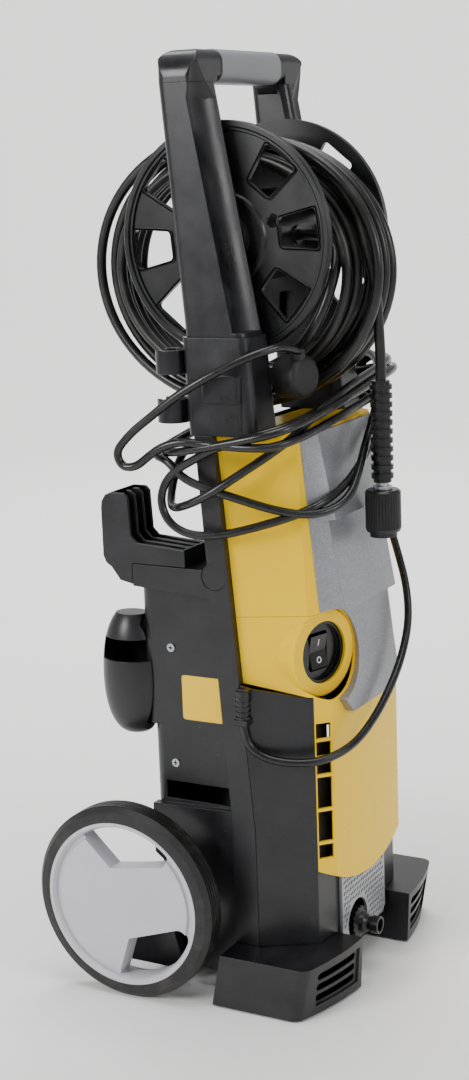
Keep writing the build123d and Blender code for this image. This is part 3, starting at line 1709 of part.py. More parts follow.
# Hose: loops hung on the reel as one closed form, and the end that hangs in front
hose_radius = hose_diameter / 2
hose_half_width = 38.0
hose_middle = (-14.0, 688.0)
hose_outer = (155.0, 136.0)
hose_inner = (124.0, 106.0)
tail_x = 4.0
tail_y = -153.0
with BuildPart() as hose_coil:
    with BuildSketch(Plane.YZ.offset(-hose_half_width)):
        with Locations(hose_middle):
            Ellipse(*hose_outer)
            Ellipse(*hose_inner, mode=Mode.SUBTRACT)
    extrude(amount=2 * hose_half_width)
    chamfer(hose_coil.edges(), length=9.0)
finish_part("hose_coil", hose_coil.part)

relief_top = 586.0
relief_low = 490.0
relief_radius = 10.5
nut_low = 438.0
nut_radius = 17.0
stem_radius = 6.0
hose_tail_route = [
    (12, -150, 668),
    (9, -151, 648),
    (6, -153, 626),
    (4.5, -153, 606),
    (tail_x, tail_y, relief_top),
]
cord_tube("hose_tail", hose_tail_route, hose_diameter)

with BuildPart() as hose_bend_relief:
    with BuildSketch(Plane.XY.offset(relief_low)):
        with Locations((tail_x, tail_y)):
            Circle(relief_radius - 2.0)
    extrude(amount=relief_top - relief_low)
    for rib in range(11):
        z = relief_low + 4.0 + rib * 8.4
        with Locations((tail_x, tail_y, z + 2.2)):
            Cylinder(relief_radius, 4.4)
finish_part("hose_bend_relief", hose_bend_relief.part)

with BuildPart() as hose_stem:
    with BuildSketch(Plane.XY.offset(nut_low + 16.0)):
        with Locations((tail_x, tail_y)):
            Circle(stem_radius)
    extrude(amount=relief_low - nut_low - 16.0)
    with Locations((tail_x, tail_y, relief_low - 5.0)):
        Cylinder(stem_radius + 3.0, 3.0)
finish_part("hose_stem", hose_stem.part)

nut_line = Axis((tail_x, tail_y, 0), (0, 0, 1))
with BuildPart() as hose_nut:
    with BuildSketch(Plane((tail_x, tail_y, 0), x_dir=(1, 0, 0), z_dir=(0, -1, 0))):
        with BuildLine():
            Polyline(
                (stem_radius + running_fit, nut_low + 18.0),
                (11.0, nut_low + 18.0),
                (11.0, nut_low),
                (nut_radius - 4.0, nut_low),
                (nut_radius - 4.0, nut_low + 4.0),
                (nut_radius - 1.0, nut_low + 5.0),
                (nut_radius, nut_low + 8.0),
                (nut_radius, relief_low - 9.0),
                (nut_radius - 2.0, relief_low - 7.0),
                (stem_radius + running_fit, relief_low - 7.0),
                close=True,
            )
        make_face()
    revolve(axis=nut_line, revolution_arc=360)
    with BuildSketch(Plane.XY.offset(nut_low + 8.0)):
        with Locations((tail_x, tail_y)):
            with PolarLocations(nut_radius, 36):
                Circle(0.7)
    extrude(amount=relief_low - nut_low - 17.0, mode=Mode.SUBTRACT)
finish_part("hose_nut", hose_nut.part)
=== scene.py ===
"""Upright pressure washer: finishes, cords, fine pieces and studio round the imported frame."""

import json
import logging
from dataclasses import dataclass, field
from enum import Enum
from math import cos, pi, radians, sin

import bmesh
import bpy
from mathutils import Matrix, Vector

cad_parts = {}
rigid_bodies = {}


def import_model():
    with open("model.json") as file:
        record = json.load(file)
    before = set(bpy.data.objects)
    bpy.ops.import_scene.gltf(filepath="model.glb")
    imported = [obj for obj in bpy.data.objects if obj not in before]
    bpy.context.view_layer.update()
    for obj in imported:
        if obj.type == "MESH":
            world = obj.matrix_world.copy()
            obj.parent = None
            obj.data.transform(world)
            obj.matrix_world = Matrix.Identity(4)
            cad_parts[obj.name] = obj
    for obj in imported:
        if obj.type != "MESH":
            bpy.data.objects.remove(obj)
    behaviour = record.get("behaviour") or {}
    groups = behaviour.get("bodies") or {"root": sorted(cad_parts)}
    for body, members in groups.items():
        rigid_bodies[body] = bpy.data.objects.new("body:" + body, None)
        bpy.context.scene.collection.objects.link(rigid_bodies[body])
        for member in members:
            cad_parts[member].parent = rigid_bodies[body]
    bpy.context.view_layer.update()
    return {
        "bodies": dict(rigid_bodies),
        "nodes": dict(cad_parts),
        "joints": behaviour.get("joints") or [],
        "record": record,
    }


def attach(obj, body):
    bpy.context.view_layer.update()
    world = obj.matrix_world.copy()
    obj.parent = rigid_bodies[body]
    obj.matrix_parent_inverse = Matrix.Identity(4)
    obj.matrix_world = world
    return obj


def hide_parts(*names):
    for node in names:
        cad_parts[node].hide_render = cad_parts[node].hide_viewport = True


LOG = logging.getLogger("pressure_washer")
MM = 0.001
BEVEL_SAMPLES = 6
# Edges past these angles stay sharp in the shading, and are rounded in the fine pieces.
SHADE_SHARP_DEGREES = 30.0
ROUND_SHARP_DEGREES = 40.0
CORNER_SEGMENTS = 4
# Steps of a cord's section and of each stretch along it.
CORD_BEVEL_STEPS = 4
CORD_LENGTH_STEPS = 6
Point = tuple[float, float, float]
Span = tuple[float, float]


# ---------------------------------------------------------------- node and mesh helpers
def linear(hex_colour: str) -> tuple[float, float, float, float]:
    """Turn an sRGB hex colour into linear RGBA.

    Args:
        hex_colour: Six hex digits, such as "f2b705".

    Returns:
        Linear red, green, blue and an alpha of one.
    """
    parts = [int(hex_colour[i : i + 2], 16) / 255 for i in (0, 2, 4)]
    red, green, blue = (c / 12.92 if c <= 0.04045 else ((c + 0.055) / 1.055) ** 2.4 for c in parts)
    return (red, green, blue, 1.0)


def add_node(
    tree: bpy.types.NodeTree,
    kind: str,
    inputs: dict[str | int, object] | None = None,
    **settings: object,
) -> bpy.types.Node:
    """Add one node with its settings, and give each input a value or a link.

    Args:
        tree: Node tree that takes the node.
        kind: Node class, without its "ShaderNode" prefix.
        inputs: Input name or number to a value, or to an output socket to link.
        settings: Properties of the node itself.

    Returns:
        The new node.
    """
    node = tree.nodes.new("ShaderNode" + kind)
    for name, value in settings.items():
        setattr(node, name, value)
    for name, value in (inputs or {}).items():
        if isinstance(value, bpy.types.NodeSocket):
            tree.links.new(value, node.inputs[name])
        else:
            node.inputs[name].default_value = value
    return node


def per_metre(size_mm: float) -> float:
    """Texture scale of features of a given size.

    Args:
        size_mm: Size across one feature.

    Returns:
        Features per metre.
    """
    return 1.0 / (size_mm * MM)


def new_material(name: str) -> tuple[bpy.types.Material, bpy.types.NodeTree, bpy.types.Node]:
    """Start a node material.

    Args:
        name: Name of the material.

    Returns:
        The material, its node tree and its Principled shader.
    """
    material = bpy.data.materials.new(name)
    material.use_nodes = True
    tree = material.node_tree
    return material, tree, tree.nodes["Principled BSDF"]


def noise(
    tree: bpy.types.NodeTree,
    where: bpy.types.NodeSocket,
    size_mm: float,
    detail: float,
    roughness: float = 0.5,
) -> bpy.types.NodeSocket:
    """Add a noise pattern.

    Args:
        tree: Node tree that takes the node.
        where: Coordinates that the pattern follows.
        size_mm: Size of its features.
        detail: Number of finer layers.
        roughness: Strength of each finer layer.

    Returns:
        The pattern's value.
    """
    inputs = {"Vector": where, "Scale": per_metre(size_mm), "Detail": detail, "Roughness": roughness}
    return add_node(tree, "TexNoise", inputs).outputs[0]


def cells(tree: bpy.types.NodeTree, where: bpy.types.NodeSocket, size_mm: float) -> bpy.types.Node:
    """Add a pattern of cells.

    Args:
        tree: Node tree that takes the node.
        where: Coordinates that the pattern follows.
        size_mm: Size of a cell.

    Returns:
        The node, with each cell's distance and its random colour.
    """
    return add_node(tree, "TexVoronoi", {"Vector": where, "Scale": per_metre(size_mm)})


def remap(
    tree: bpy.types.NodeTree, value: bpy.types.NodeSocket, span: Span, result: Span
) -> bpy.types.NodeSocket:
    """Map one span of a value onto another, held at its ends.

    Args:
        tree: Node tree that takes the node.
        value: The value.
        span: Its two ends.
        result: What they become.

    Returns:
        The mapped value.
    """
    inputs = {0: value, 1: span[0], 2: span[1], 3: result[0], 4: result[1]}
    return add_node(tree, "MapRange", inputs).outputs[0]


def combine(
    tree: bpy.types.NodeTree, operation: str, first: bpy.types.NodeSocket, second: bpy.types.NodeSocket
) -> bpy.types.NodeSocket:
    """Combine two values.

    Args:
        tree: Node tree that takes the node.
        operation: Operation of the maths node.
        first: First value.
        second: Second value.

    Returns:
        The combined value.
    """
    return add_node(tree, "Math", {0: first, 1: second}, operation=operation).outputs[0]


def tint_base(
    tree: bpy.types.NodeTree,
    shader: bpy.types.Node,
    amount: bpy.types.NodeSocket,
    under: str,
    over: str,
) -> None:
    """Mix two colours into the shader's base colour.

    Args:
        tree: Node tree that takes the node.
        shader: The Principled shader.
        amount: Share of the second colour.
        under: First colour, as six hex digits.
        over: Second colour, as six hex digits.
    """
    inputs = {0: amount, 6: linear(under), 7: linear(over)}
    mixed = add_node(tree, "Mix", inputs, data_type="RGBA")
    tree.links.new(mixed.outputs[2], shader.inputs["Base Color"])


def vary_gloss(
    tree: bpy.types.NodeTree,
    shader: bpy.types.Node,
    pattern: bpy.types.NodeSocket,
    span: Span,
    middle: float,
    spread: Span,
) -> None:
    """Let the shader's roughness follow a pattern.

    Args:
        tree: Node tree that takes the node.
        shader: The Principled shader.
        pattern: Value that it follows.
        span: Ends of the pattern that count.
        middle: Roughness of the finish.
        spread: What is added to it at those ends.
    """
    rough = remap(tree, pattern, span, (middle + spread[0], middle + spread[1]))
    tree.links.new(rough, shader.inputs["Roughness"])


def raise_relief(
    tree: bpy.types.NodeTree,
    shader: bpy.types.Node,
    height: bpy.types.NodeSocket,
    strength: float,
    depth_mm: float,
    edge_mm: float = 0.0,
) -> None:
    """Give the surface a fine relief, and edges that catch light as rounded ones do.

    Args:
        tree: Node tree that takes the nodes.
        shader: The Principled shader.
        height: Pattern that stands up.
        strength: Share of it that shows.
        depth_mm: Its depth.
        edge_mm: Rounding of the edges, or nought for none.
    """
    inputs = {"Height": height, "Strength": strength, "Distance": depth_mm * MM}
    if edge_mm:
        edge = add_node(tree, "Bevel", {"Radius": edge_mm * MM}, samples=BEVEL_SAMPLES)
        inputs["Normal"] = edge.outputs[0]
    bump = add_node(tree, "Bump", inputs)
    tree.links.new(bump.outputs[0], shader.inputs["Normal"])


def link_piece(
    name: str, mesh: bpy.types.Mesh, material: bpy.types.Material, body: str
) -> bpy.types.Object:
    """Put a mesh in the scene as a piece that rides on a body.

    Args:
        name: Name of the piece.
        mesh: Its mesh, already in place.
        material: Its finish.
        body: CAD body that it rides on.

    Returns:
        The new object.
    """
    piece = bpy.data.objects.new(name, mesh)
    bpy.context.scene.collection.objects.link(piece)
    piece.data.materials.clear()
    piece.data.materials.append(material)
    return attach(piece, body)


def smooth_shade(mesh: bpy.types.Mesh) -> None:
    """Shade a mesh smooth, with its sharp edges kept.

    Args:
        mesh: The mesh.
    """
    mesh.shade_smooth()
    mesh.set_sharp_from_angle(angle=radians(SHADE_SHARP_DEGREES))


# ---------------------------------------------------------------- finishes
@dataclass(frozen=True)
class MouldedPlastic:
    """Injection-moulded plastic: spark-eroded grain, faint flow mottling, dust, and edges that shade as
    rounded ones.

    The tool's grain spreads the highlight, so gloss is broad, and handling leaves lighter specks.
    """

    name: str
    colour: str
    worn: str
    roughness: float = 0.42
    grain_mm: float = 0.6
    grain_depth_mm: float = 0.02
    dust: float = 0.25
    edge_mm: float = 0.9
    ior: float = 1.49
    specular: float = 0.5
    film_mm: float = 38.0
    film_span: Span = (0.35, 0.8)
    film_amount: float = 0.16
    speck_mm: float = 5.5
    speck_span: Span = (0.16, 0.04)
    patch_mm: float = 70.0
    patch_span: Span = (0.52, 0.72)
    gloss_span: Span = (0.3, 0.75)
    gloss_spread: Span = (-0.05, 0.09)
    grain_strength: float = 0.5

    def build(self) -> bpy.types.Material:
        """Make the material.

        Returns:
            The finished material.
        """
        material, tree, shader = new_material(self.name)
        where = add_node(tree, "TexCoord").outputs["Object"]
        mottle = noise(tree, where, self.film_mm, detail=5.0, roughness=0.65)
        specks = cells(tree, where, self.speck_mm).outputs["Distance"]
        patches = noise(tree, where, self.patch_mm, detail=3.0)
        speck_mask = remap(tree, specks, self.speck_span, (0.0, 1.0))
        patch_mask = remap(tree, patches, self.patch_span, (0.0, self.dust))
        film = remap(tree, mottle, self.film_span, (0.0, self.film_amount))
        amount = combine(tree, "ADD", combine(tree, "MULTIPLY", speck_mask, patch_mask), film)
        tint_base(tree, shader, amount, self.colour, self.worn)
        vary_gloss(tree, shader, mottle, self.gloss_span, self.roughness, self.gloss_spread)
        grain = noise(tree, where, self.grain_mm, detail=1.0)
        raise_relief(tree, shader, grain, self.grain_strength, self.grain_depth_mm, self.edge_mm)
        shader.inputs["IOR"].default_value = self.ior
        shader.inputs["Specular IOR Level"].default_value = self.specular
        return material


@dataclass(frozen=True)
class SilverPaint:
    """Silver paint over moulded ABS: fine metal flakes in a satin lacquer.

    The flakes glitter in a fine grain and lift the tone where the light is square on.
    """

    name: str
    colour: str
    flake: str
    flake_mm: float = 0.9
    roughness: float = 0.36
    metallic: float = 0.45
    edge_mm: float = 0.9
    flake_span: Span = (0.45, 1.0)
    flake_amount: float = 0.4
    flake_strength: float = 0.25
    flake_depth_mm: float = 0.02
    haze_mm: float = 30.0
    gloss_span: Span = (0.3, 0.7)
    gloss_spread: Span = (-0.04, 0.08)

    def build(self) -> bpy.types.Material:
        """Make the material.

        Returns:
            The finished material.
        """
        material, tree, shader = new_material(self.name)
        where = add_node(tree, "TexCoord").outputs["Object"]
        random_colour = cells(tree, where, self.flake_mm).outputs["Color"]
        flakes = add_node(tree, "SeparateColor", {0: random_colour})
        amount = remap(tree, flakes.outputs[0], self.flake_span, (0.0, self.flake_amount))
        tint_base(tree, shader, amount, self.colour, self.flake)
        haze = noise(tree, where, self.haze_mm, detail=4.0)
        vary_gloss(tree, shader, haze, self.gloss_span, self.roughness, self.gloss_spread)
        relief = flakes.outputs[1]
        raise_relief(tree, shader, relief, self.flake_strength, self.flake_depth_mm, self.edge_mm)
        shader.inputs["Metallic"].default_value = self.metallic
        return material


@dataclass(frozen=True)
class VulcanisedRubber:
    """Moulded or extruded rubber: soft sheen, chalky scuffs and dust caught in the surface."""

    name: str
    colour: str
    scuff: str
    roughness: float = 0.5
    scuff_amount: float = 0.3
    scuff_mm: float = 26.0
    grit_mm: float = 1.4
    grit_depth_mm: float = 0.05
    scuff_span: Span = (0.48, 0.78)
    dot_mm: float = 4.0
    dot_span: Span = (0.14, 0.05)
    dot_amount: float = 0.35
    gloss_span: Span = (0.35, 0.7)
    gloss_spread: Span = (-0.06, 0.14)
    grit_strength: float = 0.5
    ior: float = 1.52

    def build(self) -> bpy.types.Material:
        """Make the material.

        Returns:
            The finished material.
        """
        material, tree, shader = new_material(self.name)
        where = add_node(tree, "TexCoord").outputs["Object"]
        smears = noise(tree, where, self.scuff_mm, detail=6.0, roughness=0.7)
        amount = remap(tree, smears, self.scuff_span, (0.0, self.scuff_amount))
        specks = cells(tree, where, self.dot_mm).outputs["Distance"]
        dots = remap(tree, specks, self.dot_span, (0.0, self.dot_amount))
        limited = add_node(tree, "Clamp", {0: combine(tree, "ADD", amount, dots)})
        tint_base(tree, shader, limited.outputs[0], self.colour, self.scuff)
        vary_gloss(tree, shader, smears, self.gloss_span, self.roughness, self.gloss_spread)
        grit = noise(tree, where, self.grit_mm, detail=2.0)
        raise_relief(tree, shader, grit, self.grit_strength, self.grit_depth_mm)
        shader.inputs["IOR"].default_value = self.ior
        return material


@dataclass(frozen=True)
class PlatedMetal:
    """Plated or cast metal: clear base tone with fine scratches in its gloss."""

    name: str
    colour: str
    roughness: float = 0.3
    scratch_mm: float = 1.5
    gloss_span: Span = (0.3, 0.7)
    gloss_spread: Span = (-0.06, 0.1)

    def build(self) -> bpy.types.Material:
        """Make the material.

        Returns:
            The finished material.
        """
        material, tree, shader = new_material(self.name)
        where = add_node(tree, "TexCoord").outputs["Object"]
        scratch = noise(tree, where, self.scratch_mm, detail=4.0)
        vary_gloss(tree, shader, scratch, self.gloss_span, self.roughness, self.gloss_spread)
        shader.inputs["Base Color"].default_value = linear(self.colour)
        shader.inputs["Metallic"].default_value = 1.0
        return material


class FinishName(Enum):
    """The finishes of this machine."""

    BLACK_SHELL = MouldedPlastic("black_polypropylene_moulded", "0b0b0d", "55555c", 0.34, dust=0.55)
    BLACK_HANDLE = MouldedPlastic(
        "black_polypropylene_handle", "0c0c0f", "60606a", 0.31, 0.5, 0.03, dust=0.65
    )
    YELLOW_COVER = MouldedPlastic(
        "yellow_abs_moulded", "f6c800", "ffd630", 0.3, 0.9, 0.006, dust=0.05, specular=0.22
    )
    SILVER_TRIM = SilverPaint("silver_paint_on_abs", "8a8b90", "bcbdc1", 0.9, 0.34, 0.5)
    SILVER_RIM = MouldedPlastic("silver_grey_abs_rim", "c6c3cb", "8a888e", 0.36, 0.8, 0.01, dust=0.4)
    SILVER_GRILLE = SilverPaint("silver_paint_grille", "9c9da1", "d2d2d4", 0.7, 0.4, 0.4, 0.3)
    GREY_GRIP = MouldedPlastic("grey_abs_grip", "7c7c81", "98999d", 0.42, 0.7, 0.03, dust=0.2)
    REEL = MouldedPlastic(
        "black_reel_moulding", "08080a", "4a4a50", 0.3, 0.9, 0.008, dust=0.3, edge_mm=0.4
    )
    SWITCH = MouldedPlastic("black_switch_nylon", "050506", "1c1c1e", 0.22, 0.6, 0.005, dust=0.1)
    FITTING = MouldedPlastic("black_nylon_fitting", "08080a", "44444a", 0.34, 0.5, 0.02, dust=0.4)
    LABEL = MouldedPlastic("yellow_printed_label", "f4c400", "ffd84a", 0.3, 0.4, 0.002, dust=0.1)
    TYRE = VulcanisedRubber("black_tyre_rubber", "0b0b0c", "5c5854", 0.5, 0.4, 22.0, 1.6, 0.12)
    HOSE = VulcanisedRubber("black_hose_rubber", "0b0b0c", "4b4642", 0.33, 0.4, 34.0, 1.2, 0.03)
    CABLE = VulcanisedRubber("black_cable_sheath", "090909", "303032", 0.28, 0.25, 30.0, 1.0, 0.02)
    PAD = VulcanisedRubber("black_foot_rubber", "0a0a0a", "3a3a3a", 0.5)
    ZINC = PlatedMetal("zinc_plated_steel", "b9bcc0", 0.32)
    ALLOY = PlatedMetal("die_cast_aluminium", "a8aaad", 0.45, 0.9)
    BRASS = PlatedMetal("machined_brass", "c9a35a", 0.3)
    MARK = MouldedPlastic("white_moulded_mark", "e6e6e2", "c8c8c4", 0.45, 0.4, 0.004, dust=0.0)


class Finishes:
    """Makes each finish once, the first time that it is asked for."""

    def __init__(self) -> None:
        """Start with nothing made."""
        self.made: dict[FinishName, bpy.types.Material] = {}

    def get(self, finish: FinishName) -> bpy.types.Material:
        """Return a finish's material, and make it if needed.

        Args:
            finish: The finish.

        Returns:
            Its material.
        """
        if finish not in self.made:
            self.made[finish] = finish.value.build()
        return self.made[finish]


# ---------------------------------------------------------------- CAD shells
@dataclass
class Shells:
    """Dresses the frame's own pieces, and softens the moulded ones with rounded edges."""

    finishes: Finishes
    dressed: dict[FinishName, list[str]] = field(
        default_factory=lambda: {
            FinishName.BLACK_SHELL: [
                "rear_housing", "front_housing", "base_frame",
                "rear_pocket", "cable_hook", "rail_caps",
            ],
            FinishName.BLACK_HANDLE: [
                "left_socket", "right_socket", "left_upright",
                "right_upright", "crossbar", "lance_clips",
            ],
            FinishName.YELLOW_COVER: ["upper_cover", "lower_cover"],
            FinishName.SILVER_TRIM: ["upper_trim", "lower_trim"],
            FinishName.SILVER_RIM: ["left_rim", "right_rim"],
            FinishName.SILVER_GRILLE: ["grille"],
            FinishName.GREY_GRIP: ["grip_insert"],
            FinishName.REEL: [
                "reel_left_flange", "reel_right_flange", "reel_drum", "winding_pegs", "reel_pivots",
            ],
            FinishName.SWITCH: ["switch_well", "power_rocker"],
            FinishName.FITTING: [
                "inlet_connector", "hose_bend_relief", "hose_nut",
                "cable_gland", "motor_fan", "capacitor",
            ],
            FinishName.TYRE: ["left_tyre", "right_tyre"],
            FinishName.PAD: ["foot_pads", "reel_feed_pipe", "mains_plug"],
            FinishName.ZINC: [
                "axle", "axle_clips", "axle_washers", "housing_screws",
                "inlet_filter", "hose_stem", "plug_pins",
            ],
            FinishName.ALLOY: ["motor", "pump_crankcase"],
            FinishName.BRASS: ["pump_head"],
        }
    )
    edge_width: dict[str, float] = field(
        default_factory=lambda: {
            "rear_housing": 1.6, "front_housing": 1.6, "base_frame": 2.0, "cable_hook": 1.0,
            "left_socket": 2.2, "right_socket": 2.2, "lance_clips": 0.8,
            "upper_cover": 1.0, "lower_cover": 1.0, "upper_trim": 0.8, "lower_trim": 0.8,
            "left_upright": 1.0, "right_upright": 1.0, "left_rim": 1.0, "right_rim": 1.0,
        }
    )
    weld_mm: float = 0.005
    flat_degrees: float = 0.4
    sharp_degrees: float = 32.0
    edge_segments: int = 2

    def soften(self, piece: bpy.types.Object, width_mm: float) -> None:
        """Round the sharp edges of a moulding without touching its own mesh.

        Args:
            piece: The frame's piece.
            width_mm: Width of the rounded edge.
        """
        weld = piece.modifiers.new("join_corners", "WELD")
        weld.merge_threshold = self.weld_mm * MM
        flat = piece.modifiers.new("join_flats", "DECIMATE")
        flat.decimate_type = "DISSOLVE"
        flat.angle_limit = radians(self.flat_degrees)
        flat.delimit = {"NORMAL"}
        edge = piece.modifiers.new("rounded_edges", "BEVEL")
        edge.width = width_mm * MM
        edge.segments = self.edge_segments
        edge.limit_method = "ANGLE"
        edge.angle_limit = radians(self.sharp_degrees)
        edge.use_clamp_overlap = True
        edge.harden_normals = False
        piece.modifiers.new("even_shading", "WEIGHTED_NORMAL").keep_sharp = False

    def dress(self, nodes: dict[str, bpy.types.Object]) -> None:
        """Give every carried-over piece its finish.

        Args:
            nodes: The frame's nodes by name.
        """
        for finish, names in self.dressed.items():
            for name in names:
                piece = nodes[name]
                piece.data.materials.clear()
                piece.data.materials.append(self.finishes.get(finish))
        for name, width_mm in self.edge_width.items():
            self.soften(nodes[name], width_mm)
        LOG.info("dressed %d pieces", sum(len(names) for names in self.dressed.values()))


# ---------------------------------------------------------------- cords
def cord_curve(
    name: str, points: list[Point], radius: float, material: bpy.types.Material
) -> bpy.types.Object:
    """Make a cord as one open, smooth spline.

    Args:
        name: Name of the piece.
        points: Its control points, in metres.
        radius: Half its diameter, in metres.
        material: Its sheath.

    Returns:
        The curve's object.
    """
    curve = bpy.data.curves.new(name, "CURVE")
    curve.dimensions = "3D"
    curve.bevel_depth = radius
    curve.bevel_resolution = CORD_BEVEL_STEPS
    curve.resolution_u = CORD_LENGTH_STEPS
    curve.use_fill_caps = True
    spline = curve.splines.new("NURBS")
    spline.points.add(len(points) - 1)
    for control, point in zip(spline.points, points):
        control.co = (*point, 1.0)
    spline.order_u = 3
    spline.use_endpoint_u = True
    curve.materials.append(material)
    piece = bpy.data.objects.new(name, curve)
    bpy.context.scene.collection.objects.link(piece)
    return piece


@dataclass
class MainsCable:
    """Mains cable: out of its gland, up the front, round the neck in loose turns, to its plug."""

    material: bpy.types.Material
    diameter: float = 0.008
    length: float = 4.7
    neck_half_x: float = 0.134
    neck_half_y: float = 0.073
    neck_middle_y: float = -0.050
    neck_z: float = 0.556
    neck_rise_x: float = 0.12
    neck_rise_y: float = -0.20
    neck_square: float = 0.444
    points_per_turn: int = 16

    def neck_point(self, degrees_round: float, out: float, lift: float) -> Point:
        """Point of a turn round the neck.

        Args:
            degrees_round: Angle from +X towards +Y.
            out: Distance outside the bundle's centreline, in metres.
            lift: Distance above it, in metres.

        Returns:
            The point, in metres.
        """
        c, s = cos(radians(degrees_round)), sin(radians(degrees_round))
        square_c = (1 if c >= 0 else -1) * abs(c) ** self.neck_square
        square_s = (1 if s >= 0 else -1) * abs(s) ** self.neck_square
        x = (self.neck_half_x + out) * square_c
        y = self.neck_middle_y + (self.neck_half_y + out) * square_s
        z = self.neck_z + self.neck_rise_x * x + self.neck_rise_y * (y - self.neck_middle_y) + lift
        return (x, y, z)

    def neck_run(self, start: float, end: float, first: Span, last: Span) -> list[Point]:
        """Stretch round the neck between two angles, drifting from one place in the bundle to another.

        Args:
            start: Angle where it begins, in degrees.
            end: Angle where it ends; more than a turn is allowed.
            first: Distance out and lift at the start, in metres.
            last: Distance out and lift at the end, in metres.

        Returns:
            The control points.
        """
        step = 360 / self.points_per_turn
        count = max(2, round(abs(end - start) / step) + 1)
        run = []
        for i in range(count):
            share = i / (count - 1)
            out = first[0] + (last[0] - first[0]) * share
            lift = first[1] + (last[1] - first[1]) * share
            run.append(self.neck_point(start + (end - start) * share, out, lift))
        return run

    def route(self) -> list[Point]:
        """Whole route from the gland to the plug.

        Returns:
            The control points, in metres.
        """
        lead = [
            (-0.1235, -0.064, 0.277), (-0.1235, -0.066, 0.259), (-0.121, -0.082, 0.247),
            (-0.113, -0.106, 0.242), (-0.101, -0.132, 0.243), (-0.070, -0.149, 0.250),
            (-0.030, -0.153, 0.264), (0.010, -0.153, 0.284), (0.044, -0.152, 0.308),
            (0.070, -0.149, 0.338), (0.084, -0.141, 0.370), (0.095, -0.127, 0.402),
            (0.105, -0.110, 0.440), (0.115, -0.092, 0.485), (0.125, -0.076, 0.528),
            (0.131, -0.068, 0.556), (0.138, -0.066, 0.580), (0.139, -0.084, 0.594),
        ]
        rail_loop = [
            (-0.078, -0.121, 0.562), (-0.090, -0.108, 0.545), (-0.103, -0.088, 0.529),
            (-0.116, -0.070, 0.516), (-0.127, -0.052, 0.503), (-0.131, -0.032, 0.491),
            (-0.130, -0.013, 0.483), (-0.121, 0.004, 0.4785), (-0.107, 0.014, 0.483),
            (-0.094, 0.019, 0.495), (-0.080, 0.022, 0.510), (-0.060, 0.024, 0.523),
        ]
        front_loop = [
            (0.126, -0.070, 0.566), (0.104, -0.106, 0.556), (0.072, -0.125, 0.543),
            (0.036, -0.131, 0.527), (0.000, -0.136, 0.513), (-0.032, -0.137, 0.499),
            (-0.058, -0.134, 0.489), (-0.082, -0.126, 0.481), (-0.098, -0.105, 0.472),
            (-0.112, -0.078, 0.464), (-0.124, -0.049, 0.457), (-0.131, -0.020, 0.456),
            (-0.134, 0.000, 0.466), (-0.134, 0.009, 0.484), (-0.133, 0.006, 0.502),
            (-0.132, -0.006, 0.516), (-0.132, -0.026, 0.527), (-0.133, -0.052, 0.540),
        ]
        side_loop = [
            (-0.131, 0.002, 0.526), (-0.131, -0.014, 0.509), (-0.128, -0.038, 0.500),
            (-0.118, -0.066, 0.490), (-0.106, -0.092, 0.480), (-0.090, -0.120, 0.473),
            (-0.068, -0.139, 0.477), (-0.046, -0.145, 0.489), (-0.022, -0.141, 0.506),
            (0.003, -0.136, 0.524), (0.028, -0.133, 0.545), (0.056, -0.127, 0.566),
            (0.088, -0.112, 0.580),
        ]
        right_bight = [
            (0.116, -0.100, 0.592), (0.138, -0.076, 0.598), (0.149, -0.048, 0.592),
            (0.152, -0.024, 0.572), (0.149, -0.032, 0.550), (0.140, -0.060, 0.546),
            (0.126, -0.092, 0.556),
        ]
        tail = [
            (-0.134, -0.040, 0.542), (-0.139, -0.020, 0.545), (-0.141, 0.000, 0.540),
            (-0.142, 0.015, 0.530), (-0.1425, 0.0285, 0.5195), (-0.1435, 0.043, 0.519),
            (-0.1445, 0.048, 0.533), (-0.1445, 0.037, 0.5455), (-0.1435, 0.025, 0.556),
            (-0.142, 0.012, 0.5655), (-0.141, -0.003, 0.577), (-0.1385, -0.022, 0.590),
            (-0.134, -0.045, 0.603), (-0.124, -0.068, 0.615), (-0.107, -0.088, 0.624),
            (-0.086, -0.101, 0.628), (-0.068, -0.104, 0.620),
        ]
        return (
            lead
            + self.neck_run(326, 270, (0.001, 0.011), (0.000, 0.0105))
            + rail_loop
            + self.neck_run(90, 22, (0.000, -0.008), (0.001, -0.007))
            + front_loop
            + self.neck_run(192, 135 + 2 * 360, (-0.006, 0.002), (0.0095, 0.001))
            + side_loop
            + right_bight
            + self.neck_run(292, 202, (0.002, -0.013), (0.003, -0.010))
            + tail
        )

    def build(self, pieces: list[bpy.types.Object]) -> bpy.types.Object:
        """Args:
            pieces: The pieces that lie on it; not used.

        Returns:
            The cable's object.
        """
        points = self.route()
        cable = cord_curve("mains_cable", points, self.diameter / 2, self.material)
        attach(cable, "machine")
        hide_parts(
            "cable_lead", "cable_front_loop", "cable_side_loop",
            "cable_rail_loop", "cable_tail", "cable_bundle",
        )
        LOG.info("mains cable of %d points", len(points))
        return cable


@dataclass(frozen=True)
class HoseLoop:
    """One turn of hose: its place across the reel, its middle and its half sizes, in metres."""

    x: float
    y: float
    z: float
    half_y: float
    half_z: float


